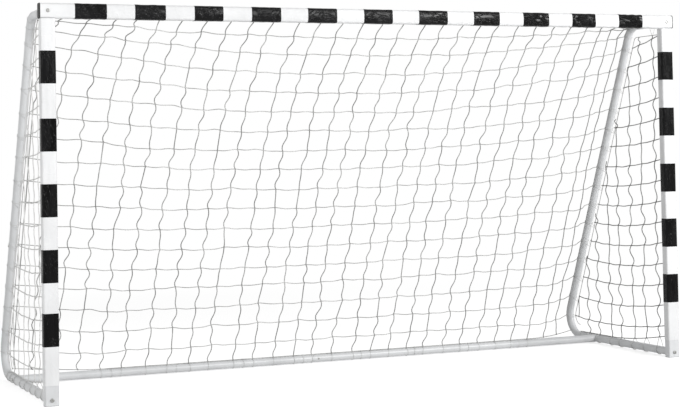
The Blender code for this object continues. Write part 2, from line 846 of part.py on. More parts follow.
def add_hook_strip(mesh_builder, middles, at):
    # A flat strip behind the bands, with an arm and an upturned tip at each middle. at places
    # a point by its distance along the strip, out from the bands, and up from the arms.
    half_strip = seam_strip_width / 2
    inner_tip = hook_reach - hook_tip
    strip = [(0, -half_strip), (hook_strip_thickness, -half_strip),
             (hook_strip_thickness, -hook_arm), (hook_strip_thickness, 0),
             (hook_strip_thickness, half_strip), (0, half_strip)]
    arm = [(hook_reach, -hook_arm), (hook_reach, hook_tip_height),
           (inner_tip, hook_tip_height), (inner_tip, 0)]
    edges = [edge for middle in middles
             for edge in (middle - hook_width / 2, middle + hook_width / 2)]
    stations = [middles[0] - hook_strip_end] + edges + [middles[-1] + hook_strip_end]
    rings = add_loops(mesh_builder, [[at(along, *point) for point in strip]
                                     for along in stations])
    mesh_builder.faces.new(rings[0])
    mesh_builder.faces.new(rings[-1])
    for i in range(1, len(rings)):
        near, far = rings[i - 1], rings[i]
        if i % 2:
            bridge(mesh_builder, near, far)
            continue
        ends = add_loops(mesh_builder, [[at(along, *point) for point in arm]
                                        for along in stations[i - 1:i + 1]])
        near_hook = near[:3] + ends[0] + near[3:]
        far_hook = far[:3] + ends[1] + far[3:]
        bridge(mesh_builder, near_hook, far_hook)
        mesh_builder.faces.new([near[2]] + ends[0] + [near[3]])
        mesh_builder.faces.new([far[2]] + ends[1] + [far[3]])


def make_hook_strips():
    above_arm = gap + strand / 2 * math.sqrt(2)
    column = 2 * back_edge_x / back_columns
    middles = [-back_edge_x + column * (i + 0.5) for i in range(0, back_columns, 2)]
    mesh_builder = bmesh.new()
    add_hook_strip(mesh_builder, middles, lambda along, out, up: Vector(
        (along, strip_back_y + out, crossbar_z - above_arm + up)))
    finish(mesh_builder, "net_hooks_crossbar", white_plastic)
    middles = [side_row_z(row + 0.5) for row in range(side_rows - 3, 0, -2)]
    for side in (-1, 1):
        mesh_builder = bmesh.new()
        add_hook_strip(mesh_builder, middles, lambda along, out, up: Vector(
            (side * (post_x - above_arm + up), strip_back_y + out, along)))
        finish(mesh_builder, "net_hooks_post_" + left_or_right(side), white_plastic)


# Build

for old in list(bpy.data.objects):
    bpy.data.objects.remove(old)

top_bolt_holes, foot_bolt_holes, rear_bolt_holes = {}, {}, {}
neck_openings, side_screw_holes, bar_copes = {}, {}, {}
for side in (-1, 1):
    label = left_or_right(side)
    x = side * post_x
    through = 2 * sleeve_half
    top_bolt_holes[side] = drill(
        "cut_top_bolt_" + label, (x, frame_y - through, crossbar_z),
        (x, frame_y + through, crossbar_z), hole_radius)
    foot_bolt_holes[side] = drill(
        "cut_foot_bolt_" + label, (x, frame_y - through, rail_z),
        (x, frame_y + through, rail_z), hole_radius)
    rear_bolt_holes[side] = drill(
        "cut_rear_bolt_" + label, (x - 2 * tube_radius, rear_bar_y, rail_z),
        (x + 2 * tube_radius, rear_bar_y, rail_z), hole_radius)
    opening = rounded_box(insert_neck_depth / 2 + gap, insert_neck_width / 2 + gap,
                          plug_wall + gap)
    neck_openings[side] = cutter("cut_neck_" + label, [
        along_z(opening, x, crossbar_z - 2 * sleeve_half),
        along_z(opening, x, crossbar_z - steel_half / 2)])
    side_screw_holes[side] = drill(
        "cut_side_screw_" + label,
        (side * (post_x + 2 * tube_radius), *side_screw_centre),
        (side * (post_x + tube_radius / 2), *side_screw_centre), screw_radius + gap)
    bar_copes[side] = drill(
        "cut_bar_cope_" + label, (x, rear_bar_y - 2 * tube_radius, rail_z),
        (x, rear_bar_y + 2 * tube_radius, rail_z), tube_radius + gap, 2 * tube_sides)
bar_screw_hole = drill(
    "cut_bar_screw", (bar_screw_x, rear_bar_y - 2 * tube_radius, rail_z),
    (bar_screw_x, rear_bar_y - tube_radius / 2, rail_z), screw_radius + gap)

make_crossbar()
make_crossbar_joiner()
make_crossbar_caps()
make_posts()
make_post_joiners()
make_foot_plugs()
make_corner_inserts()
make_crossbar_sleeve()
make_post_sleeves()
make_crossbar_bands()
make_post_bands()
make_side_frames()
make_rear_bar()
make_end_plugs()
make_bolts()
make_joint_screws()
make_net_back()
make_side_nets()
make_laces()
make_hook_strips()
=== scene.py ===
# Garden soccer goal dressed for the photograph: vinyl sleeves with black bands, painted
# steel tubes, bolts, and a knotted net tied to the frame.
import math
import bpy
import numpy as np
from mathutils import Matrix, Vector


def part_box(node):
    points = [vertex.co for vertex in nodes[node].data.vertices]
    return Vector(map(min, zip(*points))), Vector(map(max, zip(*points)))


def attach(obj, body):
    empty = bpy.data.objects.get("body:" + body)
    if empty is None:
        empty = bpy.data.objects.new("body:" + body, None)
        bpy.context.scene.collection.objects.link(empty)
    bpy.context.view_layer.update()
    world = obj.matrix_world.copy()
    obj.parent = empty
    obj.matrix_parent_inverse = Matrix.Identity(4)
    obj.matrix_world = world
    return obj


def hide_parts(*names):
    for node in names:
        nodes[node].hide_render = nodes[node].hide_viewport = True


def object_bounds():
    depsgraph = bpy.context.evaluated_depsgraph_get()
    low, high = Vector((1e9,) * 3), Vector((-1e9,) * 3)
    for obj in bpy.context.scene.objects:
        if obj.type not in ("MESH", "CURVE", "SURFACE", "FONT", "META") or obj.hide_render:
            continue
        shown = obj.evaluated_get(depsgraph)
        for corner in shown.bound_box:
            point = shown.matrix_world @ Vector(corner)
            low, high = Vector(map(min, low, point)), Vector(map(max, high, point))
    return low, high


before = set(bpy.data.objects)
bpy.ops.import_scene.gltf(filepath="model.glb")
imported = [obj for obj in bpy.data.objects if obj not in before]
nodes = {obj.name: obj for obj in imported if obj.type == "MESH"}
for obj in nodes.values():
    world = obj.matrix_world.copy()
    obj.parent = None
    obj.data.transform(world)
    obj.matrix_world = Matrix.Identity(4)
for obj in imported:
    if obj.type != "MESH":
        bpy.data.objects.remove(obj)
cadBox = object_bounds()
chance = np.random.default_rng(11)
print("frame loaded,", len(nodes), "nodes")


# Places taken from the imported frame
def middleOf(node):
    low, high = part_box(node)
    return (low + high) / 2, (high - low) / 2


postMiddle, postHalf = middleOf("post_right_sleeve")
barMiddle, barHalf = middleOf("crossbar_sleeve")
rearMiddle, rearHalf = middleOf("rear_bar_right")
postX, frameY, sleeveHalf, sleeveDeep = postMiddle.x, postMiddle.y, postHalf.x, postHalf.y
narrower = sleeveHalf - sleeveDeep       # half the width less half the depth
crossbarZ, crossbarEnd = barMiddle.z, barHalf.x
sleeveFoot, sleeveTop = postMiddle.z - postHalf.z, postMiddle.z + postHalf.z
rearY, railZ, tubeRadius = rearMiddle.y, rearMiddle.z, rearHalf.z
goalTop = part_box("crossbar_bands")[1].z
bandHalf = goalTop - crossbarZ
gap = 0.0003                             # between pieces that touch in the real goal
hookSeat = 0.006                         # from the black strip to the net's edge cord
stripY = frameY + bandHalf - narrower + gap     # back face of the sleeves' black strip
edgeY = stripY + hookSeat
stubY = frameY + sleeveDeep + gap


# Camera, fitted to the photograph's corners, bands and side tubes

camera = dict(place=(-2.918, -6.805, 0.9785), yaw=23.154, pitch=1.90, roll=-1.031,
              lens=85.293, shiftUp=-0.1529)


def makeCamera(settings):
    # ahead = (sin yaw cos pitch, cos yaw cos pitch, sin pitch), and roll turns right and up
    yaw, pitch, roll = (math.radians(settings[key]) for key in ("yaw", "pitch", "roll"))
    ahead = np.array([math.sin(yaw) * math.cos(pitch), math.cos(yaw) * math.cos(pitch),
                      math.sin(pitch)])
    level = np.array([math.cos(yaw), -math.sin(yaw), 0.0])
    above = np.cross(level, ahead)
    right = math.cos(roll) * level + math.sin(roll) * above
    up = math.cos(roll) * above - math.sin(roll) * level
    lens = bpy.data.cameras.new("camera")
    lens.sensor_width = 36.0
    lens.lens = settings["lens"]
    lens.shift_y = settings["shiftUp"]
    holder = bpy.data.objects.new("camera", lens)
    bpy.context.scene.collection.objects.link(holder)
    turn = Matrix((right, up, -ahead)).transposed().to_4x4()
    holder.matrix_world = Matrix.Translation(settings["place"]) @ turn
    bpy.context.scene.camera = holder


makeCamera(camera)


# Node groups shared by the materials

def newGroup(name, inputs, outputs):
    group = bpy.data.node_groups.new(name, "ShaderNodeTree")
    for socketName, kind, value in inputs:
        socket = group.interface.new_socket(name=socketName, in_out="INPUT", socket_type=kind)
        if value is not None:
            socket.default_value = value
    for socketName, kind in outputs:
        group.interface.new_socket(name=socketName, in_out="OUTPUT", socket_type=kind)
    return group, group.nodes.new("NodeGroupInput"), group.nodes.new("NodeGroupOutput")


def addNode(tree, kind, links=(), **values):
    # links pairs an input with the socket that feeds it; values set sockets or properties
    node = tree.nodes.new(kind)
    for key, value in values.items():
        if hasattr(node, key):
            setattr(node, key, value)
        else:
            node.inputs[key.replace("_", " ")].default_value = value
    for key, source in links:
        tree.links.new(source, node.inputs[key])
    return node


def mathNode(tree, operation, first, second=None, third=None):
    node = tree.nodes.new("ShaderNodeMath")
    node.operation = operation
    for index, value in enumerate((first, second, third)):
        if value is None:
            continue
        if isinstance(value, (int, float)):
            node.inputs[index].default_value = value
        else:
            tree.links.new(value, node.inputs[index])
    return node.outputs[0]


def rampNode(tree, source, low, high, lowValue=0.0, highValue=1.0):
    node = tree.nodes.new("ShaderNodeMapRange")
    node.interpolation_type = "SMOOTHSTEP"
    tree.links.new(source, node.inputs["Value"])
    for key, value in (("From Min", low), ("From Max", high), ("To Min", lowValue),
                       ("To Max", highValue)):
        node.inputs[key].default_value = value
    return node.outputs["Result"]


def makeCreases():
    # Creased vinyl: ridges where a distorted noise passes its middle, over a soft swell
    group, start, end = newGroup("creasedVinyl", [
        ("Vector", "NodeSocketVector", None), ("Scale", "NodeSocketFloat", 12.0),
        ("Crease", "NodeSocketFloat", 0.5)],
        [("Height", "NodeSocketFloat"), ("Shade", "NodeSocketFloat")])
    noise = addNode(group, "ShaderNodeTexNoise", [
        ("Vector", start.outputs["Vector"]), ("Scale", start.outputs["Scale"])],
        Detail=3.0, Roughness=0.55, Distortion=1.4)
    away = mathNode(group, "ABSOLUTE", mathNode(group, "SUBTRACT", noise.outputs[0], 0.5))
    ridge = rampNode(group, away, 0.0, 0.09, 1.0, 0.0)
    swell = addNode(group, "ShaderNodeTexNoise", [("Vector", start.outputs["Vector"])],
                    Scale=7.0, Detail=1.0)
    height = mathNode(group, "MULTIPLY_ADD", ridge, start.outputs["Crease"],
                      swell.outputs[0])
    group.links.new(height, end.inputs["Height"])
    group.links.new(rampNode(group, swell.outputs[0], 0.3, 0.7), end.inputs["Shade"])
    return group


def makePeel():
    # Sprayed and baked paint: a fine even ripple, and broad patches for rubbed places
    group, start, end = newGroup("paintPeel", [
        ("Vector", "NodeSocketVector", None), ("Scale", "NodeSocketFloat", 900.0)],
        [("Height", "NodeSocketFloat"), ("Rubbed", "NodeSocketFloat")])
    fine = addNode(group, "ShaderNodeTexNoise", [
        ("Vector", start.outputs["Vector"]), ("Scale", start.outputs["Scale"])], Detail=1.0)
    broad = addNode(group, "ShaderNodeTexNoise", [("Vector", start.outputs["Vector"])],
                    Scale=9.0, Detail=5.0, Roughness=0.65)
    group.links.new(fine.outputs[0], end.inputs["Height"])
    group.links.new(rampNode(group, broad.outputs[0], 0.42, 0.72), end.inputs["Rubbed"])
    return group


def makeTwist():
    # Twisted twine on its own map, U once round and V in metres, with three plies:
    # height = |sin(3 pi U + turns V)|
    group, start, end = newGroup("twineTwist", [
        ("Vector", "NodeSocketVector", None), ("Turns", "NodeSocketFloat", 900.0)],
        [("Height", "NodeSocketFloat"), ("Shade", "NodeSocketFloat")])
    parts = addNode(group, "ShaderNodeSeparateXYZ", [("Vector", start.outputs["Vector"])])
    around = mathNode(group, "MULTIPLY", parts.outputs["X"], 3.0 * math.pi)
    phase = mathNode(group, "MULTIPLY_ADD", parts.outputs["Y"], start.outputs["Turns"], around)
    ply = mathNode(group, "ABSOLUTE", mathNode(group, "SINE", phase))
    group.links.new(ply, end.inputs["Height"])
    # Shade darkens the grooves between the plies: painted shade
    group.links.new(rampNode(group, ply, 0.0, 0.45, 0.72, 1.0), end.inputs["Shade"])
    return group


creasedVinyl, paintPeel, twineTwist = makeCreases(), makePeel(), makeTwist()


# Materials

def newMaterial(name, colour, roughness, metallic=0.0, **sockets):
    material = bpy.data.materials.new(name)
    material.use_nodes = True
    shader = material.node_tree.nodes["Principled BSDF"]
    shader.inputs["Base Color"].default_value = (*colour, 1.0)
    shader.inputs["Roughness"].default_value = roughness
    shader.inputs["Metallic"].default_value = metallic
    for key, value in sockets.items():
        shader.inputs[key.replace("_", " ")].default_value = value
    return material, material.node_tree, shader


def placeGroup(tree, group, vector, **values):
    node = tree.nodes.new("ShaderNodeGroup")
    node.node_tree = group
    tree.links.new(vector, node.inputs["Vector"])
    for key, value in values.items():
        node.inputs[key].default_value = value
    return node


def bump(tree, shader, height, strength, distance):
    node = addNode(tree, "ShaderNodeBump", [("Height", height)], Strength=strength,
                   Distance=distance)
    tree.links.new(node.outputs["Normal"], shader.inputs["Normal"])


def mixColours(tree, factor, first, second, target):
    node = tree.nodes.new("ShaderNodeMix")
    node.data_type = "RGBA"
    colours = [socket for socket in node.inputs if socket.type == "RGBA"]
    colours[0].default_value = (*first, 1.0)
    colours[1].default_value = (*second, 1.0)
    tree.links.new(factor, node.inputs[0])
    mixed = [socket for socket in node.outputs if socket.type == "RGBA"][0]
    tree.links.new(mixed, target)


def objectCoordinates(tree, stretch=(1.0, 1.0, 1.0)):
    place = tree.nodes.new("ShaderNodeTexCoord")
    mapping = tree.nodes.new("ShaderNodeMapping")
    mapping.inputs["Scale"].default_value = stretch
    tree.links.new(place.outputs["Object"], mapping.inputs["Vector"])
    return mapping.outputs["Vector"]


vinyl = dict(white=(0.86, 0.865, 0.87), shaded=(0.80, 0.805, 0.81), whiteRoughness=0.42,
             black=(0.001, 0.001, 0.001), dull=(0.005, 0.005, 0.0055), blackRoughness=0.22,
             crushedFrom=0.45, crushedTo=1.0)


def makeVinyl(name, first, second, roughness, stretch, scale, crease, depth, specular,
              crushed=0.0):
    # crushed deepens the creases towards the right-hand end
    material, tree, shader = newMaterial(name, first, roughness, Specular_IOR_Level=specular)
    creases = placeGroup(tree, creasedVinyl, objectCoordinates(tree, stretch), Scale=scale,
                         Crease=crease)
    parts = addNode(tree, "ShaderNodeSeparateXYZ", [("Vector", objectCoordinates(tree))])
    deeper = rampNode(tree, parts.outputs["X"], vinyl["crushedFrom"], vinyl["crushedTo"],
                      1.0, 1.0 + crushed)
    bump(tree, shader, mathNode(tree, "MULTIPLY", creases.outputs["Height"], deeper), 0.9,
         depth)
    mixColours(tree, creases.outputs["Shade"], first, second, shader.inputs["Base Color"])
    tree.links.new(rampNode(tree, creases.outputs["Shade"], 0.0, 1.0, roughness - 0.06,
                            roughness + 0.08), shader.inputs["Roughness"])
    return material


whiteVinyl = makeVinyl("whiteVinyl", vinyl["white"], vinyl["shaded"],
                       vinyl["whiteRoughness"], (1, 1, 1), 9.0, 0.35, 0.0012, 0.4)
blackVinylBar = makeVinyl("blackVinylBar", vinyl["black"], vinyl["dull"],
                          vinyl["blackRoughness"], (1.0, 1.6, 2.2), 16.0, 0.55, 0.0020, 0.14,
                          5.0)
blackVinylPost = makeVinyl("blackVinylPost", vinyl["black"], vinyl["dull"],
                           vinyl["blackRoughness"], (3.0, 3.0, 0.7), 14.0, 0.7, 0.0018, 0.09)

paint = dict(colour=(0.74, 0.75, 0.76), rubbed=(0.68, 0.69, 0.70), roughness=0.36,
             glossiest=0.32, dullest=0.46)


def makePaint(name):
    material, tree, shader = newMaterial(name, paint["colour"], paint["roughness"])
    peel = placeGroup(tree, paintPeel, objectCoordinates(tree), Scale=700.0)
    bump(tree, shader, peel.outputs["Height"], 0.25, 0.0002)
    mixColours(tree, peel.outputs["Rubbed"], paint["colour"], paint["rubbed"],
               shader.inputs["Base Color"])
    tree.links.new(rampNode(tree, peel.outputs["Rubbed"], 0.0, 1.0, paint["glossiest"],
                            paint["dullest"]), shader.inputs["Roughness"])
    return material


def makeMetal(name, colour, dull, roughness, scale):
    material, tree, shader = newMaterial(name, colour, roughness, 1.0)
    peel = placeGroup(tree, paintPeel, objectCoordinates(tree), Scale=scale)
    bump(tree, shader, peel.outputs["Height"], 0.2, 0.0002)
    mixColours(tree, peel.outputs["Rubbed"], colour, dull, shader.inputs["Base Color"])
    tree.links.new(rampNode(tree, peel.outputs["Rubbed"], 0.0, 1.0, roughness,
                            roughness + 0.18), shader.inputs["Roughness"])
    return material


def makePlastic(name, colour, worn, roughness):
    material, tree, shader = newMaterial(name, colour, roughness)
    peel = placeGroup(tree, paintPeel, objectCoordinates(tree), Scale=1500.0)
    bump(tree, shader, peel.outputs["Height"], 0.35, 0.0002)
    mixColours(tree, peel.outputs["Rubbed"], colour, worn, shader.inputs["Base Color"])
    return material


# The twine is white, and its greys are partly painted shade: the uprights are a darker copy of
# the rows, the left side panel a lighter copy as painted light, and all of it darker towards
# the right as painted shade.
twine = dict(roughness=0.8, upright=(0.60, 0.30), level=(0.70, 0.42), side=(0.76, 0.22),
             litLeftSide=(0.90, 0.74), tie=(0.78, 0.66), turns=900.0, shadeRightFrom=-0.2,
             shadeRightTo=1.4, shadeRightTone=0.45)


def makeTwine(name, tones):
    # tones are light and dark greys of white twine, partly painted shade; darker in random
    # patches, and as painted shade in ply grooves and towards the right
    light, dark = ((tone, tone, 0.985 * tone) for tone in tones)
    material, tree, shader = newMaterial(name, light, twine["roughness"],
                                         Specular_IOR_Level=0.25)
    place = tree.nodes.new("ShaderNodeTexCoord")
    twist = placeGroup(tree, twineTwist, place.outputs["UV"],
                       Turns=twine["turns"])
    patches = addNode(tree, "ShaderNodeTexNoise", [("Vector", place.outputs["Object"])],
                      Scale=11.0, Detail=3.0, Roughness=0.6)
    parts = addNode(tree, "ShaderNodeSeparateXYZ", [("Vector", place.outputs["Object"])])
    # painted shade: the twine darkens towards the right, away from the light
    shadeToRight = rampNode(tree, parts.outputs["X"], twine["shadeRightFrom"], twine["shadeRightTo"], 1.0,
                      twine["shadeRightTone"])
    tone = mathNode(tree, "MULTIPLY", rampNode(tree, patches.outputs[0], 0.36, 0.64),
                    twist.outputs["Shade"])
    tone = mathNode(tree, "MULTIPLY", tone, shadeToRight)
    mixColours(tree, tone, dark, light, shader.inputs["Base Color"])
    bump(tree, shader, twist.outputs["Height"], 0.8, 0.0006)
    return material


whitePaint = makePaint("whitePaint")
bareSteel = makeMetal("bareSteel", (0.52, 0.53, 0.54), (0.40, 0.41, 0.42), 0.34, 400.0)
zincPlate = makeMetal("zincPlate", (0.42, 0.42, 0.41), (0.26, 0.26, 0.25), 0.32, 600.0)
blackPlastic = makePlastic("blackPlastic", (0.004, 0.004, 0.004), (0.010, 0.010, 0.010),
                           0.62)
greyPlastic = makePlastic("greyPlastic", (0.42, 0.43, 0.44), (0.50, 0.51, 0.52), 0.55)
whitePlastic = makePlastic("whitePlastic", (0.80, 0.80, 0.79), (0.72, 0.72, 0.70), 0.40)
# one white twine in lit and shaded copies: the uprights darker than the rows, as painted shade
shadedUprightTwine = makeTwine("shadedUprightTwine", twine["upright"])
litLevelTwine = makeTwine("litLevelTwine", twine["level"])
sideTwine = makeTwine("sideTwine", twine["side"])
# a lighter copy of the twine for the left side panel: painted light
litLeftTwine = makeTwine("litLeftTwine", twine["litLeftSide"])
tieTwine = makeTwine("tieTwine", twine["tie"])
print("materials made")


# Mesh building

def insideOut(coords, faces):
    # six times the enclosed volume = sum of a . (b x c) over the triangles of all faces
    volume = sum((coords[block[:, :1]] * np.cross(coords[block[:, 1:-1]],
                                                  coords[block[:, 2:]])).sum()
                 for block in faces)
    return volume < 0


def newPiece(name, coords, faces, material, replaced=(), sharp=35, uv=None):
    # faces is a list of whole arrays, one row a face; uv is one row a vertex
    coords = np.asarray(coords, np.float32).reshape(-1, 3)
    if insideOut(coords, faces):
        faces = [block[:, ::-1] for block in faces]
    sizes = np.concatenate([np.full(len(block), block.shape[1]) for block in faces])
    corners = np.concatenate([block.ravel() for block in faces]).astype(np.int32)
    mesh = bpy.data.meshes.new(name)
    mesh.vertices.add(len(coords))
    mesh.vertices.foreach_set("co", coords.ravel())
    mesh.loops.add(len(corners))
    mesh.loops.foreach_set("vertex_index", corners)
    mesh.polygons.add(len(sizes))
    mesh.polygons.foreach_set("loop_start", (np.cumsum(sizes) - sizes).astype(np.int32))
    if uv is not None:
        layer = mesh.uv_layers.new(name="along")
        layer.data.foreach_set("uv", np.asarray(uv, np.float32)[corners].ravel())
    mesh.update(calc_edges=True)
    mesh.shade_smooth()
    mesh.set_sharp_from_angle(angle=math.radians(sharp))
    mesh.materials.append(material)
    piece = bpy.data.objects.new(name, mesh)
    bpy.context.scene.collection.objects.link(piece)
    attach(piece, "root")
    if replaced:
        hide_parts(*replaced)


def gridFaces(rings, points, wrapRings=False, first=0):
    # quads between ring i and ring i + 1; vertex = first + i points + j, j wraps
    i = np.arange(rings if wrapRings else rings - 1)[:, None]
    j = np.arange(points)[None, :]
    ahead, beside = (i + 1) % rings, (j + 1) % points
    quads = np.stack([i * points + j, ahead * points + j, ahead * points + beside,
                      i * points + beside], axis=-1)
    return first + quads.reshape(-1, 4)


def capFaces(rings, points, first=0):
    # one face over each open end
    ring = np.arange(points)
    return [first + ring[None, :], first + (rings - 1) * points + ring[::-1][None, :]]


def unit(vectors):
    return vectors / np.linalg.norm(vectors, axis=-1, keepdims=True)


def joinParts(parts):
    # stacks (coords, faces, uv) parts into one, shifting each one's vertex numbers
    coords, faces, maps, count = [], [], [], 0
    for part in parts:
        coords.append(part[0].reshape(-1, 3))
        faces += [block + count for block in part[1]]
        maps.append(part[2].reshape(-1, 2))
        count += len(coords[-1])
    return np.concatenate(coords), faces, np.concatenate(maps)


def cords(paths, radius, facing, sides=5, closed=False):
    # point = path + radius (cos a across + sin a up), where up is facing made square to the
    # path; paths is (cords, points, 3), and open cords get a face over each end
    paths = np.asarray(paths, float)
    count, points, _ = paths.shape
    if closed:
        heading = np.roll(paths, -1, axis=1) - np.roll(paths, 1, axis=1)
    else:
        heading = np.gradient(paths, axis=1)
    heading = unit(heading)
    facing = np.broadcast_to(facing, paths.shape)
    up = unit(facing - heading * (facing * heading).sum(-1, keepdims=True))
    across = np.cross(heading, up)
    angle = np.arange(sides) * 2 * math.pi / sides
    radius = np.broadcast_to(np.asarray(radius, float), (count, points))[..., None, None]
    coords = paths[:, :, None] + radius * (across[:, :, None] * np.cos(angle)[:, None]
                                           + up[:, :, None] * np.sin(angle)[:, None])
    quads = gridFaces(points, sides, closed)
    starts = (np.arange(count) * points * sides)[:, None, None]
    faces = [(starts + quads[None]).reshape(-1, 4)]
    if not closed:
        faces += [(starts + cap[None]).reshape(-1, sides)
                  for cap in capFaces(points, sides)]
    steps = np.linalg.norm(np.diff(paths, axis=1), axis=-1)
    along = np.concatenate([np.zeros((count, 1)), np.cumsum(steps, axis=1)], axis=1)
    uv = np.stack(np.broadcast_arrays(np.arange(sides) / sides, along[..., None]), axis=-1)
    return coords.reshape(-1, 3), faces, uv.reshape(-1, 2)


def knots(places, size, stretch=(1.0, 1.0, 1.0)):
    # lumps: radius = size (1 + 0.18 sin(3 a + p)) on a small ball of 3 rings and 2 poles
    places = np.asarray(places, float).reshape(-1, 3)
    count, around = len(places), 6
    tilt = np.array([0.25, 0.5, 0.75])[:, None] * math.pi
    turn = np.arange(around)[None, :] * 2 * math.pi / around
    ball = np.stack(np.broadcast_arrays(np.sin(tilt) * np.cos(turn),
                                        np.sin(tilt) * np.sin(turn), np.cos(tilt)), -1)
    ball = np.concatenate([[[0, 0, 1.0]], ball.reshape(-1, 3), [[0, 0, -1.0]]])
    phase = chance.uniform(0, 2 * math.pi, (count, 1))
    lump = 1 + 0.18 * np.sin(3 * np.arctan2(ball[:, 1], ball[:, 0])[None] + phase)
    scale = size * chance.uniform(0.85, 1.15, (count, 1))
    coords = places[:, None] + (ball[None] * np.array(stretch)) * (scale * lump)[..., None]
    ring = np.arange(around)
    ahead = (ring + 1) % around
    top = np.stack([np.zeros(around, int), 1 + ring, 1 + ahead], -1)
    last = 1 + 2 * around
    bottom = np.stack([np.full(around, last + around), last + ahead, last + ring], -1)
    middle = gridFaces(3, around, first=1)
    starts = (np.arange(count) * len(ball))[:, None, None]
    faces = [(starts + block[None]).reshape(-1, block.shape[1])
             for block in (top, middle, bottom)]
    return coords.reshape(-1, 3), faces, np.zeros((count * len(ball), 2))


# Sleeves and bands

wrinkle = dict(waves=16, depth=0.00022, barLength=(0.035, 0.16), postLength=(0.25, 0.9),
               barTurns=4, postTurns=9, crushedFrom=0.55, crushedOver=0.7, crushedDepth=1.8,
               gain=2.2)


def roundedBox(half, corner, bulge=0.0, flats=9, arcs=6):
    # a rectangle half - narrower deep and half wide each way, the depth first: four
    # straight sides and four arcs of radius corner, as points, outward normals and the
    # distance round as a part of the whole. Front and back stand out by
    # bulge (1 - across^2).
    straight = half - corner
    across = np.linspace(-1, 1, flats)
    angle = np.linspace(0, math.pi / 2, arcs + 2)[1:-1]
    bend = np.stack([np.cos(angle), np.sin(angle)], -1)
    facing = np.concatenate([np.tile([1.0, 0.0], (flats, 1)), bend])
    middle = np.concatenate([np.stack([np.ones(flats), across], -1),
                             np.ones((arcs, 2))]) * straight
    quarter = np.array([[0.0, 1.0], [-1.0, 0.0]])
    turns = [np.linalg.matrix_power(quarter, k) for k in range(4)]
    middle = np.concatenate([middle @ turn for turn in turns])
    facing = np.concatenate([facing @ turn for turn in turns])
    middle[:, 0] *= (straight - narrower) / straight
    points = middle + corner * facing
    rise = bulge * (1 - (middle[:, 1] / straight) ** 2) * (np.abs(facing[:, 0]) > 0.999)
    points[:, 0] += np.sign(points[:, 0]) * rise
    steps = np.linalg.norm(np.roll(points, -1, axis=0) - points, axis=-1)
    return points, facing, (np.cumsum(steps) - steps) / steps.sum()


def wrinkles(along, around, lengths, turns, seed):
    # gain / sqrt(waves) times the sum of depth sin(2 pi (along / length + n around) + phase)
    # over waves with whole n
    pick = np.random.default_rng(seed)
    count = wrinkle["waves"]
    length = np.exp(pick.uniform(np.log(lengths[0]), np.log(lengths[1]), count))
    length *= pick.choice([-1, 1], count)
    whole = pick.integers(-turns, turns + 1, count)
    phase = pick.uniform(0, 2 * math.pi, count)
    depth = wrinkle["depth"] * pick.uniform(0.4, 1.0, count)
    angle = (along[..., None] / length + around[..., None] * whole) * 2 * math.pi + phase
    return (depth * np.sin(angle)).sum(-1) / math.sqrt(count) * wrinkle["gain"]


def barSwell(along, around):
    # wrinkles (1 + crushed depth q), with q from 0 to 1 towards the right-hand end
    crushed = np.clip((along - wrinkle["crushedFrom"]) / wrinkle["crushedOver"], 0, 1)
    return wrinkles(along, around, wrinkle["barLength"], wrinkle["barTurns"], 3) * (
        1 + wrinkle["crushedDepth"] * crushed)


def leftSwell(along, around):
    return wrinkles(along, around, wrinkle["postLength"], wrinkle["postTurns"], 5)


def rightSwell(along, around):
    return wrinkles(along, around, wrinkle["postLength"], wrinkle["postTurns"], 8)


def alongBar(outline, stations):
    # outline's first axis is Y and its second Z, round the crossbar's own axis
    coords = np.zeros((*outline.shape[:-1], 3))
    coords[..., 0] = stations[:, None]
    coords[..., 1] = frameY + outline[..., 0]
    coords[..., 2] = crossbarZ + outline[..., 1]
    return coords


def alongPost(side):
    # outline's first axis is Y and its second -X, round a post's axis
    def place(outline, stations):
        coords = np.zeros((*outline.shape[:-1], 3))
        coords[..., 0] = side * postX - outline[..., 1]
        coords[..., 1] = frameY + outline[..., 0]
        coords[..., 2] = stations[:, None]
        return coords
    return place


def sleevePart(place, start, end, step, half, corner, wall, swell=None, follows=False,
               bulge=0.0):
    # outer = half + swell(along, around) and inner = outer - wall, joined at both ends; the
    # inner side keeps the swell only where the sleeve follows one under it
    high, low = max(start, end), min(start, end)
    stations = np.linspace(high, low, max(3, int((high - low) / step)))
    outline, facing, around = roundedBox(half, corner, bulge)
    grow = np.zeros((len(stations), len(around)))
    if swell:
        grow = swell(stations[:, None], around[None, :])
    lip = np.zeros((len(stations), 1))
    lip[[0, -1]] = 0.25 * wall                     # edges eased by a quarter of the wall
    outer = outline + facing * (grow - lip)[..., None]
    inner = outline + facing * (grow * follows - wall)[..., None]
    rings = np.concatenate([place(outer, stations), place(inner, stations)[::-1]])
    uv = np.zeros((rings.shape[0] * rings.shape[1], 2))
    return rings, [gridFaces(rings.shape[0], rings.shape[1], True)], uv


# Band starts are measured from the goal's left end, and their tops down from its top.
sleeves = dict(step=0.009, wall=0.0012, barCorner=0.0105, postCorner=0.0075,
               barBulge=0.0016, postBulge=0.0005)
bands = dict(
    barStarts=[0.1435, 0.3923, 0.6461, 0.8971, 1.1510, 1.4117, 1.6753, 1.9460, 2.1976,
               2.4535, 2.7031],
    barLengths=[0.131, 0.130, 0.125, 0.131, 0.134, 0.136, 0.140, 0.130, 0.133, 0.124,
                0.128],
    leftTops=[0.1915, 0.4620, 0.7226, 0.9829, 1.2346],
    rightTops=[0.1725, 0.4340, 0.6963, 0.9533, 1.2121],
    postLength=0.1310, proud=0.0008, wall=0.0005, step=0.004)


def addSleeve(name, node, place, start, end, corner, swell, bulge):
    part = sleevePart(place, start, end, sleeves["step"], sleeveHalf, corner,
                      sleeves["wall"], swell, False, bulge)
    newPiece(name, part[0], part[1], whiteVinyl, [node], 50)


def addBands(name, node, place, spans, corner, swell, bulge, material):
    half = sleeveHalf + bands["proud"]
    parts = [sleevePart(place, start, end, bands["step"], half, corner + bands["proud"],
                        bands["wall"], swell, True, bulge)
             for start, end in spans]
    coords, faces, _ = joinParts(parts)
    newPiece(name, coords, faces, material, [node], 50)


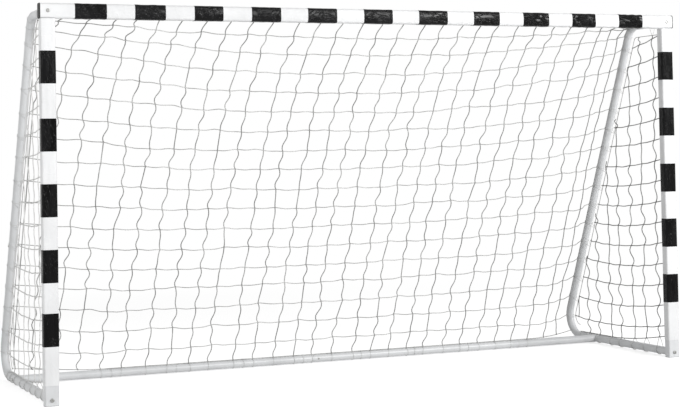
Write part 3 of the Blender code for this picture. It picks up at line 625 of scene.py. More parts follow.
addSleeve("crossbarSleeve", "crossbar_sleeve", alongBar, -crossbarEnd, crossbarEnd,
          sleeves["barCorner"], barSwell, sleeves["barBulge"])
barSpans = [(start - cadBox[1].x, start + length - cadBox[1].x)
            for start, length in zip(bands["barStarts"], bands["barLengths"])]
addBands("crossbarBands", "crossbar_bands", alongBar, barSpans, sleeves["barCorner"],
         barSwell, sleeves["barBulge"], blackVinylBar)
for side, label, swell in ((-1, "left", leftSwell), (1, "right", rightSwell)):
    addSleeve(label + "PostSleeve", f"post_{label}_sleeve", alongPost(side), sleeveFoot,
              sleeveTop, sleeves["postCorner"], swell, sleeves["postBulge"])
    postSpans = [(goalTop - top, goalTop - top - bands["postLength"])
                 for top in bands[label + "Tops"]]
    addBands(label + "PostBands", f"post_{label}_bands", alongPost(side), postSpans,
             sleeves["postCorner"], swell, sleeves["postBulge"], blackVinylPost)
print("sleeves and bands made")


# Rectangular tubes of the posts, the strips behind, and the black caps on the crossbar

postTube = dict(steelHalf=0.029, corner=0.007, wall=0.0012, step=0.05, capEase=0.0012,
                stripWidth=0.020, stripThick=0.0006, stripEase=0.0008, stripLip=0.0002,
                stripSteps=40)

for side, label in ((-1, "left"), (1, "right")):
    for node in (f"post_{label}_lower", f"post_{label}_upper"):
        low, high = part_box(node)
        part = sleevePart(alongPost(side), low.z, high.z, postTube["step"],
                          postTube["steelHalf"], postTube["corner"], postTube["wall"])
        newPiece(node.replace("_", "") + "Tube", part[0], part[1], whitePaint,
                 [node])
    low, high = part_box("crossbar_cap_" + label)
    half, ease = (high.z - low.z) / 2, postTube["capEase"]
    outline, facing, _ = roundedBox(half, sleeves["barCorner"])
    inner = side * (crossbarEnd + gap)
    outer = high.x if side > 0 else low.x
    inset = np.array([0.3, 0.0, 0.0, 0.3, 1.0])[:, None, None] * ease
    stations = outer + (inner - outer) * np.array([1.0, 0.9, 0.5, 0.12, 0.0])
    if side > 0:
        stations, inset = stations[::-1], inset[::-1]
    rings = alongBar(outline - facing * inset, stations)
    newPiece(label + "CrossbarCap", rings,
             [gridFaces(len(stations), len(outline))]
             + capFaces(len(stations), len(outline)), blackPlastic,
             ["crossbar_cap_" + label])


def strip(name, place, start, end):
    # the black strip that closes the sleeve behind: a thin bar with eased edges, the same
    # outline at every station
    lip, ease, steps = postTube["stripLip"], postTube["stripEase"], postTube["stripSteps"]
    half, back = postTube["stripWidth"] / 2, bandHalf - narrower - lip
    front = back - postTube["stripThick"]
    outline = np.array([[front, -half], [front, half], [back - lip, half],
                        [back, half - ease], [back, 0.0], [back, ease - half],
                        [back - lip, -half]])[::-1]
    stations = np.linspace(start, end, steps)
    rings = place(np.broadcast_to(outline, (steps, *outline.shape)), stations)
    newPiece(name, rings, [gridFaces(steps, len(outline))] + capFaces(steps, len(outline)),
             blackVinylBar)


print("post tubes and caps made")


# Round tubes of the side frames and the rear bar

tubes = dict(sides=36, wall=0.0012, stubReach=0.305, topBend=0.080, rearBend=0.100,
             bendSteps=16, seamHeight=0.620, swage=0.060, cone=0.006, barSeam=-0.080,
             barCope=0.006, barClear=0.0004, rolled=0.0004, cadSides=12)


def arc(centre, radius, first, last, steps):
    # y = centre - radius sin h and z = centre + radius cos h, as the heading h turns
    heading = np.linspace(first, last, steps)
    return np.stack([centre[0] - radius * np.sin(heading),
                     centre[1] + radius * np.cos(heading), heading], -1)


def straight(first, last, steps):
    # point = first (1 - t) + last t, with the line's own heading
    part = np.linspace(0, 1, steps)[:, None]
    points = np.asarray(first) * (1 - part) + np.asarray(last) * part
    heading = math.atan2(last[1] - first[1], last[0] - first[0])
    return np.concatenate([points, np.full((steps, 1), heading)], -1)


stubCorner = np.array([frameY - sleeveDeep + tubes["stubReach"], crossbarZ])
# the CAD's tube has twelve sides, so its flats lie R cos(pi / 12) from the axis
tubeFlat = tubeRadius * math.cos(math.pi / tubes["cadSides"])
rearCentre = np.array([-cadBox[0].y - tubeFlat - tubes["rearBend"],
                       railZ + tubes["rearBend"]])
reach, drop = rearCentre[0] - stubCorner[0], stubCorner[1] - rearCentre[1]
slant = math.atan2(reach, drop) + math.asin(tubes["rearBend"] / math.hypot(reach, drop))
downward = slant - math.pi / 2                     # the heading of the slanted tube
topCentre = np.array([stubCorner[0] + tubes["topBend"] * math.tan(downward / 2),
                      crossbarZ - tubes["topBend"]])
topArc = arc(topCentre, tubes["topBend"], 0.0, downward, tubes["bendSteps"])
rearArc = arc(rearCentre, tubes["rearBend"], downward, -math.pi, tubes["bendSteps"])
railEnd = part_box("side_lower_right")[0].y


def onSlant(z):
    # y = the top bend's end + drop tan slant
    return np.array([topArc[-1, 0] + (topArc[-1, 1] - z) * math.tan(slant), z])


def downSlant(point, distance):
    # point + distance (sin slant, -cos slant)
    return point + distance * np.array([math.sin(slant), -math.cos(slant)])


def tubePart(place, stations, outer, bore):
    # ring = middle + radius (cos a across + sin a up), outside first and then the bore back
    angle = np.arange(tubes["sides"]) * 2 * math.pi / tubes["sides"]
    outside = place(stations, np.asarray(outer)[:, None], angle)
    inside = place(stations, np.asarray(bore)[:, None], angle)[::-1]
    rings = np.concatenate([outside, inside])
    return rings, [gridFaces(len(rings), tubes["sides"], True)]


def inSide(side):
    # a ring round the side frame's line: X is across, and up is square to the heading
    def place(stations, radius, angle):
        y, z, heading = (stations[:, k, None] for k in range(3))
        return np.stack([side * postX + radius * np.cos(angle),
                         y - radius * np.sin(angle) * np.sin(heading),
                         z + radius * np.sin(angle) * np.cos(heading)], -1)
    return place


def inBar(stations, radius, angle):
    # along +X, across is +Y and up is +Z, taken the way round that faces outwards
    return np.stack(np.broadcast_arrays(
        stations[:, :1] + 0 * angle, rearY - radius * np.cos(angle),
        railZ + radius * np.sin(angle)), -1)


bore = tubeRadius - tubes["wall"]
neck = bore - gap
seam = onSlant(tubes["seamHeight"])
shoulder, spigot = downSlant(seam, -tubes["cone"]), downSlant(seam, tubes["swage"])
stub = straight((stubY, crossbarZ), topArc[0, :2], 4)[:-1]
upperLine = np.concatenate([stub, topArc[:-1], straight(topArc[-1, :2], shoulder, 24),
                            straight(seam, spigot, 2)])
upperOuter = np.r_[np.full(len(upperLine) - 3, tubeRadius), tubeRadius, neck, neck]
lowerLine = np.concatenate([straight(downSlant(seam, gap), rearArc[0, :2], 14)[:-1],
                            rearArc, straight(rearArc[-1, :2], (railEnd, railZ), 20)[1:]])
lowerOuter = np.full(len(lowerLine), tubeRadius)
lowerOuter[0] -= tubes["rolled"]                   # a rolled edge where the tube was cut
for side, label in ((-1, "left"), (1, "right")):
    rings, faces = tubePart(inSide(side), upperLine, upperOuter, upperOuter - tubes["wall"])
    newPiece(label + "UpperTube", rings, faces, whitePaint,
             ["side_upper_" + label], 60)
    rings, faces = tubePart(inSide(side), lowerLine, lowerOuter,
                            np.full(len(lowerLine), bore))
    newPiece(label + "LowerTube", rings, faces, whitePaint,
             ["side_lower_" + label], 60)

barEnd, barSeam = postX - tubeRadius - tubes["barClear"], tubes["barSeam"]
leftBar = np.r_[np.linspace(-barEnd, barSeam - tubes["cone"], 24), barSeam,
                barSeam + tubes["swage"]]
leftOuter = np.r_[np.full(24, tubeRadius), neck, neck]
rightBar = np.linspace(barSeam + gap, barEnd, 26)
rightOuter = np.full(26, tubeRadius)
rightOuter[0] -= tubes["rolled"]
for label, line, outer, inner in (("left", leftBar, leftOuter, leftOuter - tubes["wall"]),
                                  ("right", rightBar, rightOuter, np.full(26, bore))):
    rings, faces = tubePart(inBar, line[:, None], outer, inner)
    # the outer end is coped to the side tube's round: x moves by R - sqrt(R^2 - z^2)
    ends = rings[np.abs(rings[..., 0]) > barEnd - 1e-6]
    lift = tubeRadius - np.sqrt(np.maximum(tubeRadius ** 2 - (ends[:, 2] - railZ) ** 2, 0))
    ends[:, 0] += np.sign(ends[:, 0]) * np.minimum(lift, tubeRadius - tubes["barCope"])
    rings[np.abs(rings[..., 0]) > barEnd - 1e-6] = ends
    newPiece(label + "RearBar", rings, faces, whitePaint,
             ["rear_bar_" + label], 60)
print("round tubes made")


# Bolts and screws: turned heads with a hexagonal socket

bolts = dict(sides=36, head=0.0080, height=0.0050, crown=0.0055, shank=0.0040,
             socket=0.0025, deep=0.0028, through=0.070, rearThrough=0.050)
screws = dict(head=0.0046, height=0.0028, crown=0.0028, shank=0.0024, socket=0.0014,
              deep=0.0014, through=0.006)


def fastener(name, node, seat, outward, length, sizes):
    # ring radius over height: shank, seat, dome, then a socket of radius
    # socket / cos(((a + 30) mod 60) - 30), which is a hexagon
    angle = np.arange(bolts["sides"]) * 2 * math.pi / bolts["sides"]
    hexagon = sizes["socket"] / np.cos((angle + math.pi / 6) % (math.pi / 3) - math.pi / 6)
    high, head, crown = sizes["height"], sizes["head"], sizes["crown"]
    bend = np.linspace(0, math.pi / 2, 6)
    domeRadius = crown + (head - crown) * np.cos(bend)
    domeHeight = high * (0.35 + 0.65 * np.sin(bend))
    radius = np.concatenate([[sizes["shank"]] * 2, [head], domeRadius])
    height = np.concatenate([[-length, 0.0, 0.0], domeHeight])
    radii = np.concatenate([np.repeat(radius[:, None], len(angle), 1),
                            [hexagon * 1.06, hexagon, hexagon]])
    heights = np.concatenate([height, [high, high - 0.0002, high - sizes["deep"]]])
    outward = np.asarray(outward, float)
    across = np.cross(outward, [0.0, 0.0, 1.0])
    up = np.cross(across, outward)
    rings = (np.asarray(seat) + outward * heights[:, None, None]
             + radii[..., None] * (across * np.cos(angle)[:, None]
                                   + up * np.sin(angle)[:, None]))
    newPiece(name, rings, [gridFaces(len(radii), len(angle))]
             + capFaces(len(radii), len(angle)), zincPlate, [node], 40)


for side, label in ((-1, "left"), (1, "right")):
    x = side * postX
    topBox, footBox = (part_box(f"{where}_bolt_{label}") for where in ("top", "foot"))
    fastener(label + "TopBolt", "top_bolt_" + label,
             (x, topBox[0].y + bolts["height"], crossbarZ), (0, -1, 0), bolts["through"],
             bolts)
    fastener(label + "FootBolt", "foot_bolt_" + label,
             (x, footBox[0].y + bolts["height"], railZ), (0, -1, 0), bolts["through"], bolts)
    reachOut = postX + tubeRadius + gap
    fastener(label + "RearBolt", "rear_bolt_" + label, (side * reachOut, rearY, railZ),
             (side, 0, 0), bolts["rearThrough"], bolts)
    middle, _ = middleOf("side_joint_screw_" + label)
    fastener(label + "JointScrew", "side_joint_screw_" + label,
             (side * reachOut, middle.y, middle.z), (side, 0, 0), screws["through"], screws)
middle, _ = middleOf("rear_bar_screw")
fastener("rearBarScrew", "rear_bar_screw", (middle.x, rearY - tubeRadius - gap, railZ),
         (0, -1, 0), screws["through"], screws)
print("bolts made")


# Net. The back panel is a surface over x and v, the row number from the crossbar down.
# Strands are lines of that surface.

net = dict(
    columns=[-1.355, -1.262, -1.168, -1.085, -0.991, -0.895, -0.785, -0.684, -0.583,
             -0.491, -0.371, -0.276, -0.174, -0.075, 0.016, 0.117, 0.223, 0.316, 0.411,
             0.505, 0.595, 0.701, 0.793, 0.891, 0.983, 1.074, 1.166, 1.274, 1.388],
    middleHeights=[1.481, 1.409, 1.325, 1.244, 1.161, 1.078, 0.995, 0.911, 0.826, 0.740,
                   0.653, 0.564, 0.475, 0.392, 0.300, 0.212, 0.122],
    endHeights=[1.557, 1.525, 1.465, 1.373, 1.275, 1.175, 1.081, 0.990, 0.889, 0.796,
                0.702, 0.609, 0.515, 0.424, 0.328, 0.223, 0.121],
    leftPower=2.8, rightPower=2.0, bendsAt=1.10, bow=1.4, hemIn=0.024, hemForward=0.004,
    leanStart=0.015, lean=0.122, leanLength=0.23, wave=0.0060, shift=0.006,
    upright=0.0024, level=0.0019, hem=0.0015, knot=0.0032, onBar=0.0220, room=0.012,
    hang=0.0035, stepsDown=8, stepsAcross=7, hemSteps=150, spread=(0.9, 0.5, 0.55),
    outOfPlane=0.4, curl=0.72, curlSpread=0.42, curlRange=(-0.25, 1.3))

columns = np.array(net["columns"])
rowCount = len(net["middleHeights"]) + 1
rowNumbers = np.arange(rowCount + 1)
plunge = math.atan2(rearY - edgeY, crossbarZ - railZ)      # the back panel's own slant
lowestZ = railZ + net["onBar"] * math.cos(plunge)
middleZ = np.r_[crossbarZ, net["middleHeights"], lowestZ]
endZ = np.r_[crossbarZ, net["endHeights"], lowestZ + 0.002]
tubeLine = np.concatenate([topArc, rearArc])
hemX = postX - net["hemIn"]
shake = chance.normal(0, 1, (3, len(columns) + 2, rowCount + 2))
curl = np.clip(chance.normal(net["curl"], net["curlSpread"], (len(columns), rowCount)),
               *net["curlRange"])


def tubeY(z):
    # the side tube's axis from the top bend down to the rear bend, by height
    order = np.argsort(tubeLine[:, 1])
    return np.interp(z, tubeLine[order, 1], tubeLine[order, 0])


def onGrid(grid, column, row):
    # straight-line interpolation between the four knots round a point
    column = np.clip(column, 0, grid.shape[-2] - 1.001)
    row = np.clip(row, 0, grid.shape[-1] - 1.001)
    i, j = column.astype(int), row.astype(int)
    a, b = column - i, row - j
    return ((1 - a) * (1 - b) * grid[..., i, j] + a * (1 - b) * grid[..., i + 1, j]
            + (1 - a) * b * grid[..., i, j + 1] + a * b * grid[..., i + 1, j + 1])


def planeY(z):
    # the back panel's flat: y = edge + drop tan plunge
    return edgeY + (crossbarZ - z) * math.tan(plunge)


def hemDepth(v):
    # how far behind the flat middle the net's side hem runs at row v
    z = np.interp(v, rowNumbers, endZ)
    return (tubeY(z) - net["hemForward"] - planeY(z)) * np.clip(v, 0, 1)


def leaning(column, v):
    # the net hangs askew: x = column + start - lean (1 - e^(-t / length)), t from 0 at the
    # top to 1 at the bottom, kept inside the hems
    t = v / rowCount
    x = column + net["leanStart"] - net["lean"] * (1 - np.exp(-t / net["leanLength"]))
    return np.clip(x, net["room"] - hemX, hemX - net["room"])


def backNet(x, v):
    # y = plane + depth q^bow, with q from 0 at the bend to 1 at the hem;
    # z = middle + (end - middle) |x / postX|^power, the power another one on each side
    x, v = np.broadcast_arrays(np.asarray(x, float), np.asarray(v, float))
    q = np.clip((np.abs(x) - net["bendsAt"]) / (hemX - net["bendsAt"]), 0, 1)
    middle, end = (np.interp(v, rowNumbers, heights) for heights in (middleZ, endZ))
    power = np.where(x < 0, net["leftPower"], net["rightPower"])
    z = middle + (end - middle) * np.abs(x / postX) ** power
    y = planeY(z) + hemDepth(v) * q ** net["bow"]
    column = np.interp(x, columns, np.arange(len(columns)) + 1.0)
    free = (1 - q ** 6) * np.clip(v, 0, 1) * np.clip(rowCount - v, 0, 1) * net["shift"]
    moved = onGrid(shake, column, v)
    point = np.stack([x, y, z], -1)
    return point + np.moveaxis(moved, 0, -1) * free[..., None] * np.array(net["spread"])


panelFacing = np.array([0.0, -math.cos(plunge), -math.sin(plunge)])


def makeBackUprights():
    # x = column + wave sin(2 pi v), so each mesh's strand is an S between two knots
    v = np.linspace(0, rowCount, rowCount * net["stepsDown"] + 1)[None, :]
    mesh = np.minimum(v.astype(int), rowCount - 1)
    depth = net["wave"] * curl[np.arange(len(columns))[:, None], mesh]
    paths = backNet(leaning(columns[:, None] + depth * np.sin(2 * math.pi * v), v), v)
    within = v % 1 * (1 - v % 1) * 4
    paths[..., 1] += net["outOfPlane"] * (depth * np.sin(2 * math.pi * v + 1.2) * within)
    return cords(paths, net["upright"], panelFacing)


def makeBackLevels():
    # rows at whole v, each hanging sin^2 of the column's number between two columns
    v = rowNumbers[1:, None].astype(float)
    x = np.linspace(-hemX, hemX, len(columns) * net["stepsAcross"])[None, :]
    paths = backNet(x, v)
    column = np.interp(x, columns, np.arange(len(columns)))
    paths[..., 2] -= net["hang"] * np.sin(math.pi * column) ** 2 * (v < rowCount)
    return cords(paths, net["level"], panelFacing)


def makeBackHems():
    # edge cords: the surface's lines x = -hem, x = hem and v = 0
    v = np.linspace(0.0, rowCount, net["hemSteps"])
    sides = np.stack([backNet(-hemX, v), backNet(hemX, v)])
    top = backNet(np.linspace(-hemX, hemX, net["hemSteps"]), np.zeros(net["hemSteps"]))[None]
    return [cords(sides, net["hem"], np.array([0.0, -1.0, 0.2])),
            cords(top, net["hem"], np.array([0.0, -1.0, 0.0]))]


def makeBackKnots():
    # one lump where each upright and each hem meets a row
    v = rowNumbers[1:, None].astype(float)
    ends = np.full((1, len(v)), hemX)
    x = np.vstack([-ends, leaning(columns[:, None], v.T), ends])
    places = backNet(x, v.T).reshape(-1, 3)
    return knots(places, net["knot"], (1.0, 0.8, 1.25))


for name, parts, material in (
        ("backNetUprights", [makeBackUprights()] + makeBackHems(), shadedUprightTwine),
        ("backNetRows", [makeBackLevels()], litLevelTwine),
        ("backNetKnots", [makeBackKnots()], shadedUprightTwine)):
    coords, faces, uv = joinParts(parts)
    newPiece(name, coords, faces, material, ["net_back"], 60, uv)
print("back net made")


# Side panels, flat in the plane of each side frame: z over y and the row number

sideNet = dict(
    columns=[-0.3497, -0.2397, -0.1397, -0.0297, 0.0603, 0.1753, 0.2703, 0.3620],
    firstAtPost=1.515, pitchAtPost=0.0979, foot=0.096, hemIn=0.055, sag=0.024,
    fullLength=0.70, wave=0.013, shift=0.006, hang=0.002, level=0.0024, room=0.012,
    hangRange=(0.1, 1.7), curl=0.7, curlSpread=0.45, curlRange=(-0.3, 1.2), belly=0.010,
    bellyLength=0.8, dropPart=0.6, dropPower=1.6, stubSteps=12, rowSteps=64,
    uprightSteps=121, frontSteps=60, frontBelow=0.03)
sideColumns = np.array(sideNet["columns"])
tubeRows = np.r_[net["endHeights"][2:], lowestZ + 0.001]
hooked = sideNet["pitchAtPost"] * np.arange(len(tubeRows) - 1)
postRows = np.r_[sideNet["firstAtPost"] - hooked, sideNet["foot"]]


def hemLine(inset):
    # the tube's axis moved inset towards the inside of the frame: + inset (sin h, -cos h)
    stub = straight((edgeY, crossbarZ), topArc[0, :2], sideNet["stubSteps"])[:-1]
    line = np.concatenate([stub, topArc[:-1], straight(topArc[-1, :2], rearArc[0, :2], 90),
                           rearArc[1:]])
    return line[:, :2] + inset * np.stack([np.sin(line[:, 2]), -np.cos(line[:, 2])], -1)


hemPoints = hemLine(sideNet["hemIn"])
turning = int(np.argmax(hemPoints[:, 0]))


def hemHeight(y):
    # z of the edge cord over y, from the crossbar to the cord's rearmost point
    return np.interp(y, hemPoints[:turning, 0], hemPoints[:turning, 1])


def hemReach(z):
    # y of the edge cord over z, past the stub
    slope = hemPoints[sideNet["stubSteps"]:]
    down = np.argsort(slope[:, 1])
    return np.interp(z, slope[down, 1], slope[down, 0])


def rowHeight(row, y):
    # from the post's hook to the tube, hanging sag 4 u (1 - u) in between; the last row
    # drops as (1 - u / part)^power and then lies level
    last = len(tubeRows) - 1
    far = np.where(row == last, rearCentre[0], hemReach(tubeRows[row]))
    u = np.clip((y - edgeY) / (far - edgeY), 0, 1)
    sag = sideNet["sag"] * np.minimum(1, (far - edgeY) / sideNet["fullLength"]) ** 2
    height = postRows[row] * (1 - u) + tubeRows[row] * u - sag * 4 * u * (1 - u)
    dropped = np.clip(1 - u / sideNet["dropPart"], 0, 1) ** sideNet["dropPower"]
    bottom = tubeRows[row] + (postRows[row] - tubeRows[row]) * dropped
    return np.where(row == last, bottom, height)


def panelDepth(y, z):
    # the panel bellies inwards: belly sin(pi y / length) sin(pi z / height)
    over = np.clip((y - edgeY) / sideNet["bellyLength"], 0, 1)
    return sideNet["belly"] * np.sin(math.pi * over) * np.sin(
        math.pi * np.clip(z / crossbarZ, 0, 1))


def makeSidePanel(side, seed):
    # rows: z = row height - hang sin^2(mesh); uprights: y = column + drift +
    # wave curl sin(2 pi n), with n the row's number; x = post - belly on both
    pick = np.random.default_rng(seed)
    rows = np.arange(len(tubeRows))
    reachOfRow = np.where(rows == rows[-1], rearCentre[0], hemReach(tubeRows[rows]))
    part = np.linspace(0, 1, sideNet["rowSteps"])[None, :]
    y = edgeY + part * (reachOfRow - edgeY)[:, None]
    z = rowHeight(rows[:, None], y)
    mesh = np.interp(y, sideColumns, np.arange(len(sideColumns)))
    hang = pick.uniform(*sideNet["hangRange"], (len(rows), len(sideColumns) + 1))
    hang = hang[rows[:, None], mesh.astype(int)] * sideNet["hang"]
    z -= hang * np.sin(math.pi * mesh) ** 2 * (rows[:, None] < rows[-1])
    level = np.stack([side * (postX - panelDepth(y, z)), y, z], -1)
    uprights, places = [], []
    for column in sideColumns:
        crossed = rows[reachOfRow > column + sideNet["room"]]
        heights = np.r_[hemHeight(column),
                        rowHeight(crossed, np.full(len(crossed), column))]
        order = np.argsort(heights)
        drift = pick.normal(0, sideNet["shift"], len(heights))
        drift = drift * (np.arange(len(heights)) > 0)
        z = np.linspace(heights[0], heights.min(), sideNet["uprightSteps"])
        place = np.interp(z, heights[order], np.arange(len(heights))[order].astype(float))
        curls = pick.normal(sideNet["curl"], sideNet["curlSpread"], len(heights))
        curlHere = np.interp(np.floor(place), np.arange(len(heights)),
                             np.clip(curls, *sideNet["curlRange"]))
        y = (column + np.interp(z, heights[order], drift[order])
             + sideNet["wave"] * curlHere * np.sin(2 * math.pi * place))
        uprights.append(np.stack([side * (postX - panelDepth(y, z)), y, z], -1))
        knotY = column + drift[1:]
        knotZ = rowHeight(crossed, knotY)
        places.append(np.stack([side * (postX - panelDepth(knotY, knotZ)), knotY, knotZ],
                               -1))
    flat = np.array([1.0, 0.0, 0.0])
    hem = np.column_stack([np.full(len(hemPoints), side * postX), hemPoints])
    front = np.linspace([side * postX, edgeY, postRows[-1]],
                        [side * postX, edgeY, crossbarZ - sideNet["frontBelow"]],
                        sideNet["frontSteps"])
    ends = np.column_stack([np.full(len(rows) - 1, side * postX), reachOfRow[:-1],
                            tubeRows[:-1]])
    parts = [cords(np.array(uprights), net["upright"], flat),
             cords(hem[None], net["hem"], flat), cords(front[None], net["hem"], flat)]
    return parts, [cords(level, sideNet["level"], flat)], [
        knots(np.concatenate(places + [ends]), net["knot"], (0.8, 1.0, 1.25))]


for side, label in ((-1, "left"), (1, "right")):
    uprights, levels, lumps = makeSidePanel(side, 20 + side)
    for name, parts in (("SideUprights", uprights), ("SideRows", levels),
                        ("SideKnots", lumps)):
        coords, faces, uv = joinParts(parts)
        # the left panel takes the lighter twine copy: painted light
        newPiece(label + name, coords, faces, litLeftTwine if label == "left" else sideTwine,
                 ["net_side_" + label], 60, uv)
print("side nets made")


# Ties: separate loops of twine round a tube and the net's edge cord beside it

ties = dict(thick=0.0008, onRails=0.0015, bigPoints=16, smallPoints=5, loose=0.0004,
            hug=0.8, tilt=0.006, beside=0.006, lastOnRail=0.33, doubled=0.045)


def tieLoops(middles, axes, towards, reach, thick=ties["thick"]):
    # an arc round the tube from +b to -b, an arc round the cord from -b to +b, where
    # cos b = (R - r) / reach, and the straight runs between them
    middles, axes, towards = (np.asarray(part, float) for part in (middles, axes, towards))
    axes = unit(axes)
    towards = unit(towards - axes * (towards * axes).sum(-1, keepdims=True))
    beside = np.cross(axes, towards)
    reach = np.broadcast_to(np.asarray(reach, float), len(middles))[:, None]
    big = tubeRadius + thick + ties["loose"]
    small = net["hem"] + thick
    opening = np.arccos(np.clip((big - small) / reach, -1, 1))
    tubeTurn = opening + (2 * math.pi - 2 * opening) * np.linspace(0, 1, ties["bigPoints"])
    cordTurn = opening * np.linspace(-ties["hug"], ties["hug"], ties["smallPoints"])
    along = np.concatenate([big * np.cos(tubeTurn), reach + small * np.cos(cordTurn)], 1)
    out = np.concatenate([big * np.sin(tubeTurn), small * np.sin(cordTurn)], 1)
    tilt = chance.uniform(-ties["tilt"], ties["tilt"], (len(middles), 1))
    paths = (middles[:, None] + along[..., None] * towards[:, None]
             + out[..., None] * beside[:, None]
             + (out / big * tilt)[..., None] * axes[:, None])
    return cords(paths, thick, axes[:, None], 5, True)


def makeTies():
    # loops round the slanted tube at every row to the back net's hem and, from the third
    # row down, to the side net's; one round the stub; one a column round the ground rail
    parts = []
    heights = np.array(net["endHeights"])
    rows = np.arange(1, rowCount)
    nearest = np.array([np.argmin(np.abs(tubeLine[:, 1] - z)) for z in heights])
    bent = (heights > topArc[-1, 1]) | (heights < rearArc[0, 1])
    heading = np.where(bent, tubeLine[nearest, 2], downward)
    for side in (-1, 1):
        axes = np.stack([0 * heading, np.cos(heading), np.sin(heading)], -1)
        middles = np.stack([np.full(len(rows), side * postX), tubeY(heights), heights], -1)
        hems = backNet(side * hemX, rows)
        towards = hems - middles
        flat = towards - axes * (towards * axes).sum(-1, keepdims=True)
        parts.append(tieLoops(middles, axes, towards, np.linalg.norm(flat, axis=-1)))
        inward = np.stack([0 * heading, np.sin(heading), -np.cos(heading)], -1)
        parts.append(tieLoops(middles[2:] + axes[2:] * ties["beside"], axes[2:], inward[2:],
                              sideNet["hemIn"]))
        onStub = sideColumns[:1]
        parts.append(tieLoops([(side * postX, y, crossbarZ) for y in onStub],
                              [(0, 1, 0)] * len(onStub), [(0, 0, -1)] * len(onStub),
                              sideNet["hemIn"]))
        onRail = np.r_[sideColumns[:-1], ties["lastOnRail"]]
        last = np.full(len(onRail), len(tubeRows) - 1)
        above = rowHeight(last, onRail) - railZ
        parts.append(tieLoops([(side * postX, y, railZ) for y in onRail],
                              [(0, 1, 0)] * len(onRail), [(0, 0, 1)] * len(onRail), above,
                              ties["onRails"]))
    return parts


def makeBarTies():
    # one loop a column between the bends, and a second beside every third
    onBar = leaning(columns, float(rowCount))
    onBar = onBar[np.abs(onBar) < net["bendsAt"]]
    onBar = np.sort(np.r_[onBar, onBar[::3] + ties["doubled"]])
    middles = np.stack([onBar, np.full(len(onBar), rearY), np.full(len(onBar), railZ)], -1)
    count = len(onBar)
    return tieLoops(middles, [(1.0, 0, 0)] * count,
                    [(0, -math.sin(plunge), math.cos(plunge))] * count, net["onBar"])


coords, faces, uv = joinParts(makeTies())
newPiece("sideTies", coords, faces, tieTwine,
         ["lace_slant_left", "lace_slant_right", "lace_rail_left", "lace_rail_right"], 60,
         uv)
coords, faces, uv = makeBarTies()
newPiece("rearBarTies", coords, faces, tieTwine, ["lace_rear_bar"], 60, uv)
print("ties made")


# Hooks behind the crossbar and the posts: a strip, and a J of bent flat plastic a column

hooks = dict(width=0.008, thick=0.0025, reach=0.0125, tip=0.007, strip=0.020,
             stripThick=0.002, beyond=0.020, bend=0.0025, sunk=0.0004, ease=0.0005,
             easeOver=0.004, stripEase=0.0006, stripSteps=30)


def hookOutline():
    # the middle line runs out from the strip, round the bend, and up; the outline is that
    # line moved half a thickness to each side
    half, bend = hooks["thick"] / 2, hooks["bend"]
    turn = np.linspace(-math.pi / 2, 0, 7)
    centre = np.array([hooks["reach"] - half - bend, bend - half])
    middle = np.concatenate([[[hooks["stripThick"] - hooks["sunk"], -half]],
                             centre + bend * np.stack([np.cos(turn), np.sin(turn)], -1),
                             [[hooks["reach"] - half, hooks["tip"]]]])
    way = unit(np.gradient(middle, axis=0))
    side = np.stack([-way[:, 1], way[:, 0]], -1) * half
    return np.concatenate([middle - side, (middle + side)[::-1]])


def makeHooks(name, node, places, at):
    # four copies of the outline across each hook's width, the outer two drawn in towards
    # its centre, and a flat bar that joins the hooks
    outline = hookOutline()
    inset = np.array([hooks["ease"], 0.0, 0.0, hooks["ease"]])[:, None, None]
    centre = outline.mean(0)
    shrunk = outline + (centre - outline) * inset / hooks["easeOver"]
    offsets = np.array([-0.5, -0.42, 0.42, 0.5]) * hooks["width"]
    parts = []
    along = np.asarray(places)[:, None] + offsets
    rings = at(np.broadcast_to(along[..., None], (*along.shape, len(outline))),
               np.broadcast_to(shrunk[..., 0], (*along.shape, len(outline))),
               np.broadcast_to(shrunk[..., 1], (*along.shape, len(outline))))
    per = 4 * len(outline)
    starts = (np.arange(len(places)) * per)[:, None, None]
    shape = [gridFaces(4, len(outline))] + capFaces(4, len(outline))
    faces = [(starts + block[None]).reshape(-1, block.shape[1]) for block in shape]
    parts.append((rings, faces, np.zeros((len(places) * per, 2))))
    half, thick = hooks["strip"] / 2, hooks["stripThick"]
    ease, steps = hooks["stripEase"], hooks["stripSteps"]
    bar = np.array([[0, -half], [thick - ease, -half], [thick, ease - half],
                    [thick, half - ease], [thick - ease, half], [0, half]])
    line = np.linspace(min(places) - hooks["beyond"], max(places) + hooks["beyond"], steps)
    rings = at(*np.broadcast_arrays(line[:, None], bar[:, 0], bar[:, 1]))
    parts.append((rings, [gridFaces(steps, len(bar))] + capFaces(steps, len(bar)),
                  np.zeros((steps * len(bar), 2))))
    coords, faces, _ = joinParts(parts)
    newPiece(name, coords, faces, whitePlastic, [node], 40)


def onPost(side):
    # along the post, out behind its strip, and up towards the outside of the goal
    def place(along, out, up):
        return np.stack([side * (postX - net["hem"] - gap + up), stripY + out, along], -1)
    return place


armTop = crossbarZ - net["hem"] - gap
makeHooks("crossbarHooks", "net_hooks_crossbar", leaning(columns, 0.0)[1:-1],
          lambda along, out, up: np.stack([along, stripY + out, armTop + up], -1))
strip("crossbarStrip", alongBar, barSpans[0][0], barSpans[-1][1])
for side, label in ((-1, "left"), (1, "right")):
    strip(label + "PostStrip", alongPost(side), goalTop - bands[label + "Tops"][0],
          goalTop - bands[label + "Tops"][-1] - bands["postLength"])
    makeHooks(label + "PostHooks", "net_hooks_post_" + label, postRows[2:-3], onPost(side))
print("hooks made")


# Finishes of the frame's own pieces that show through or stay as they are

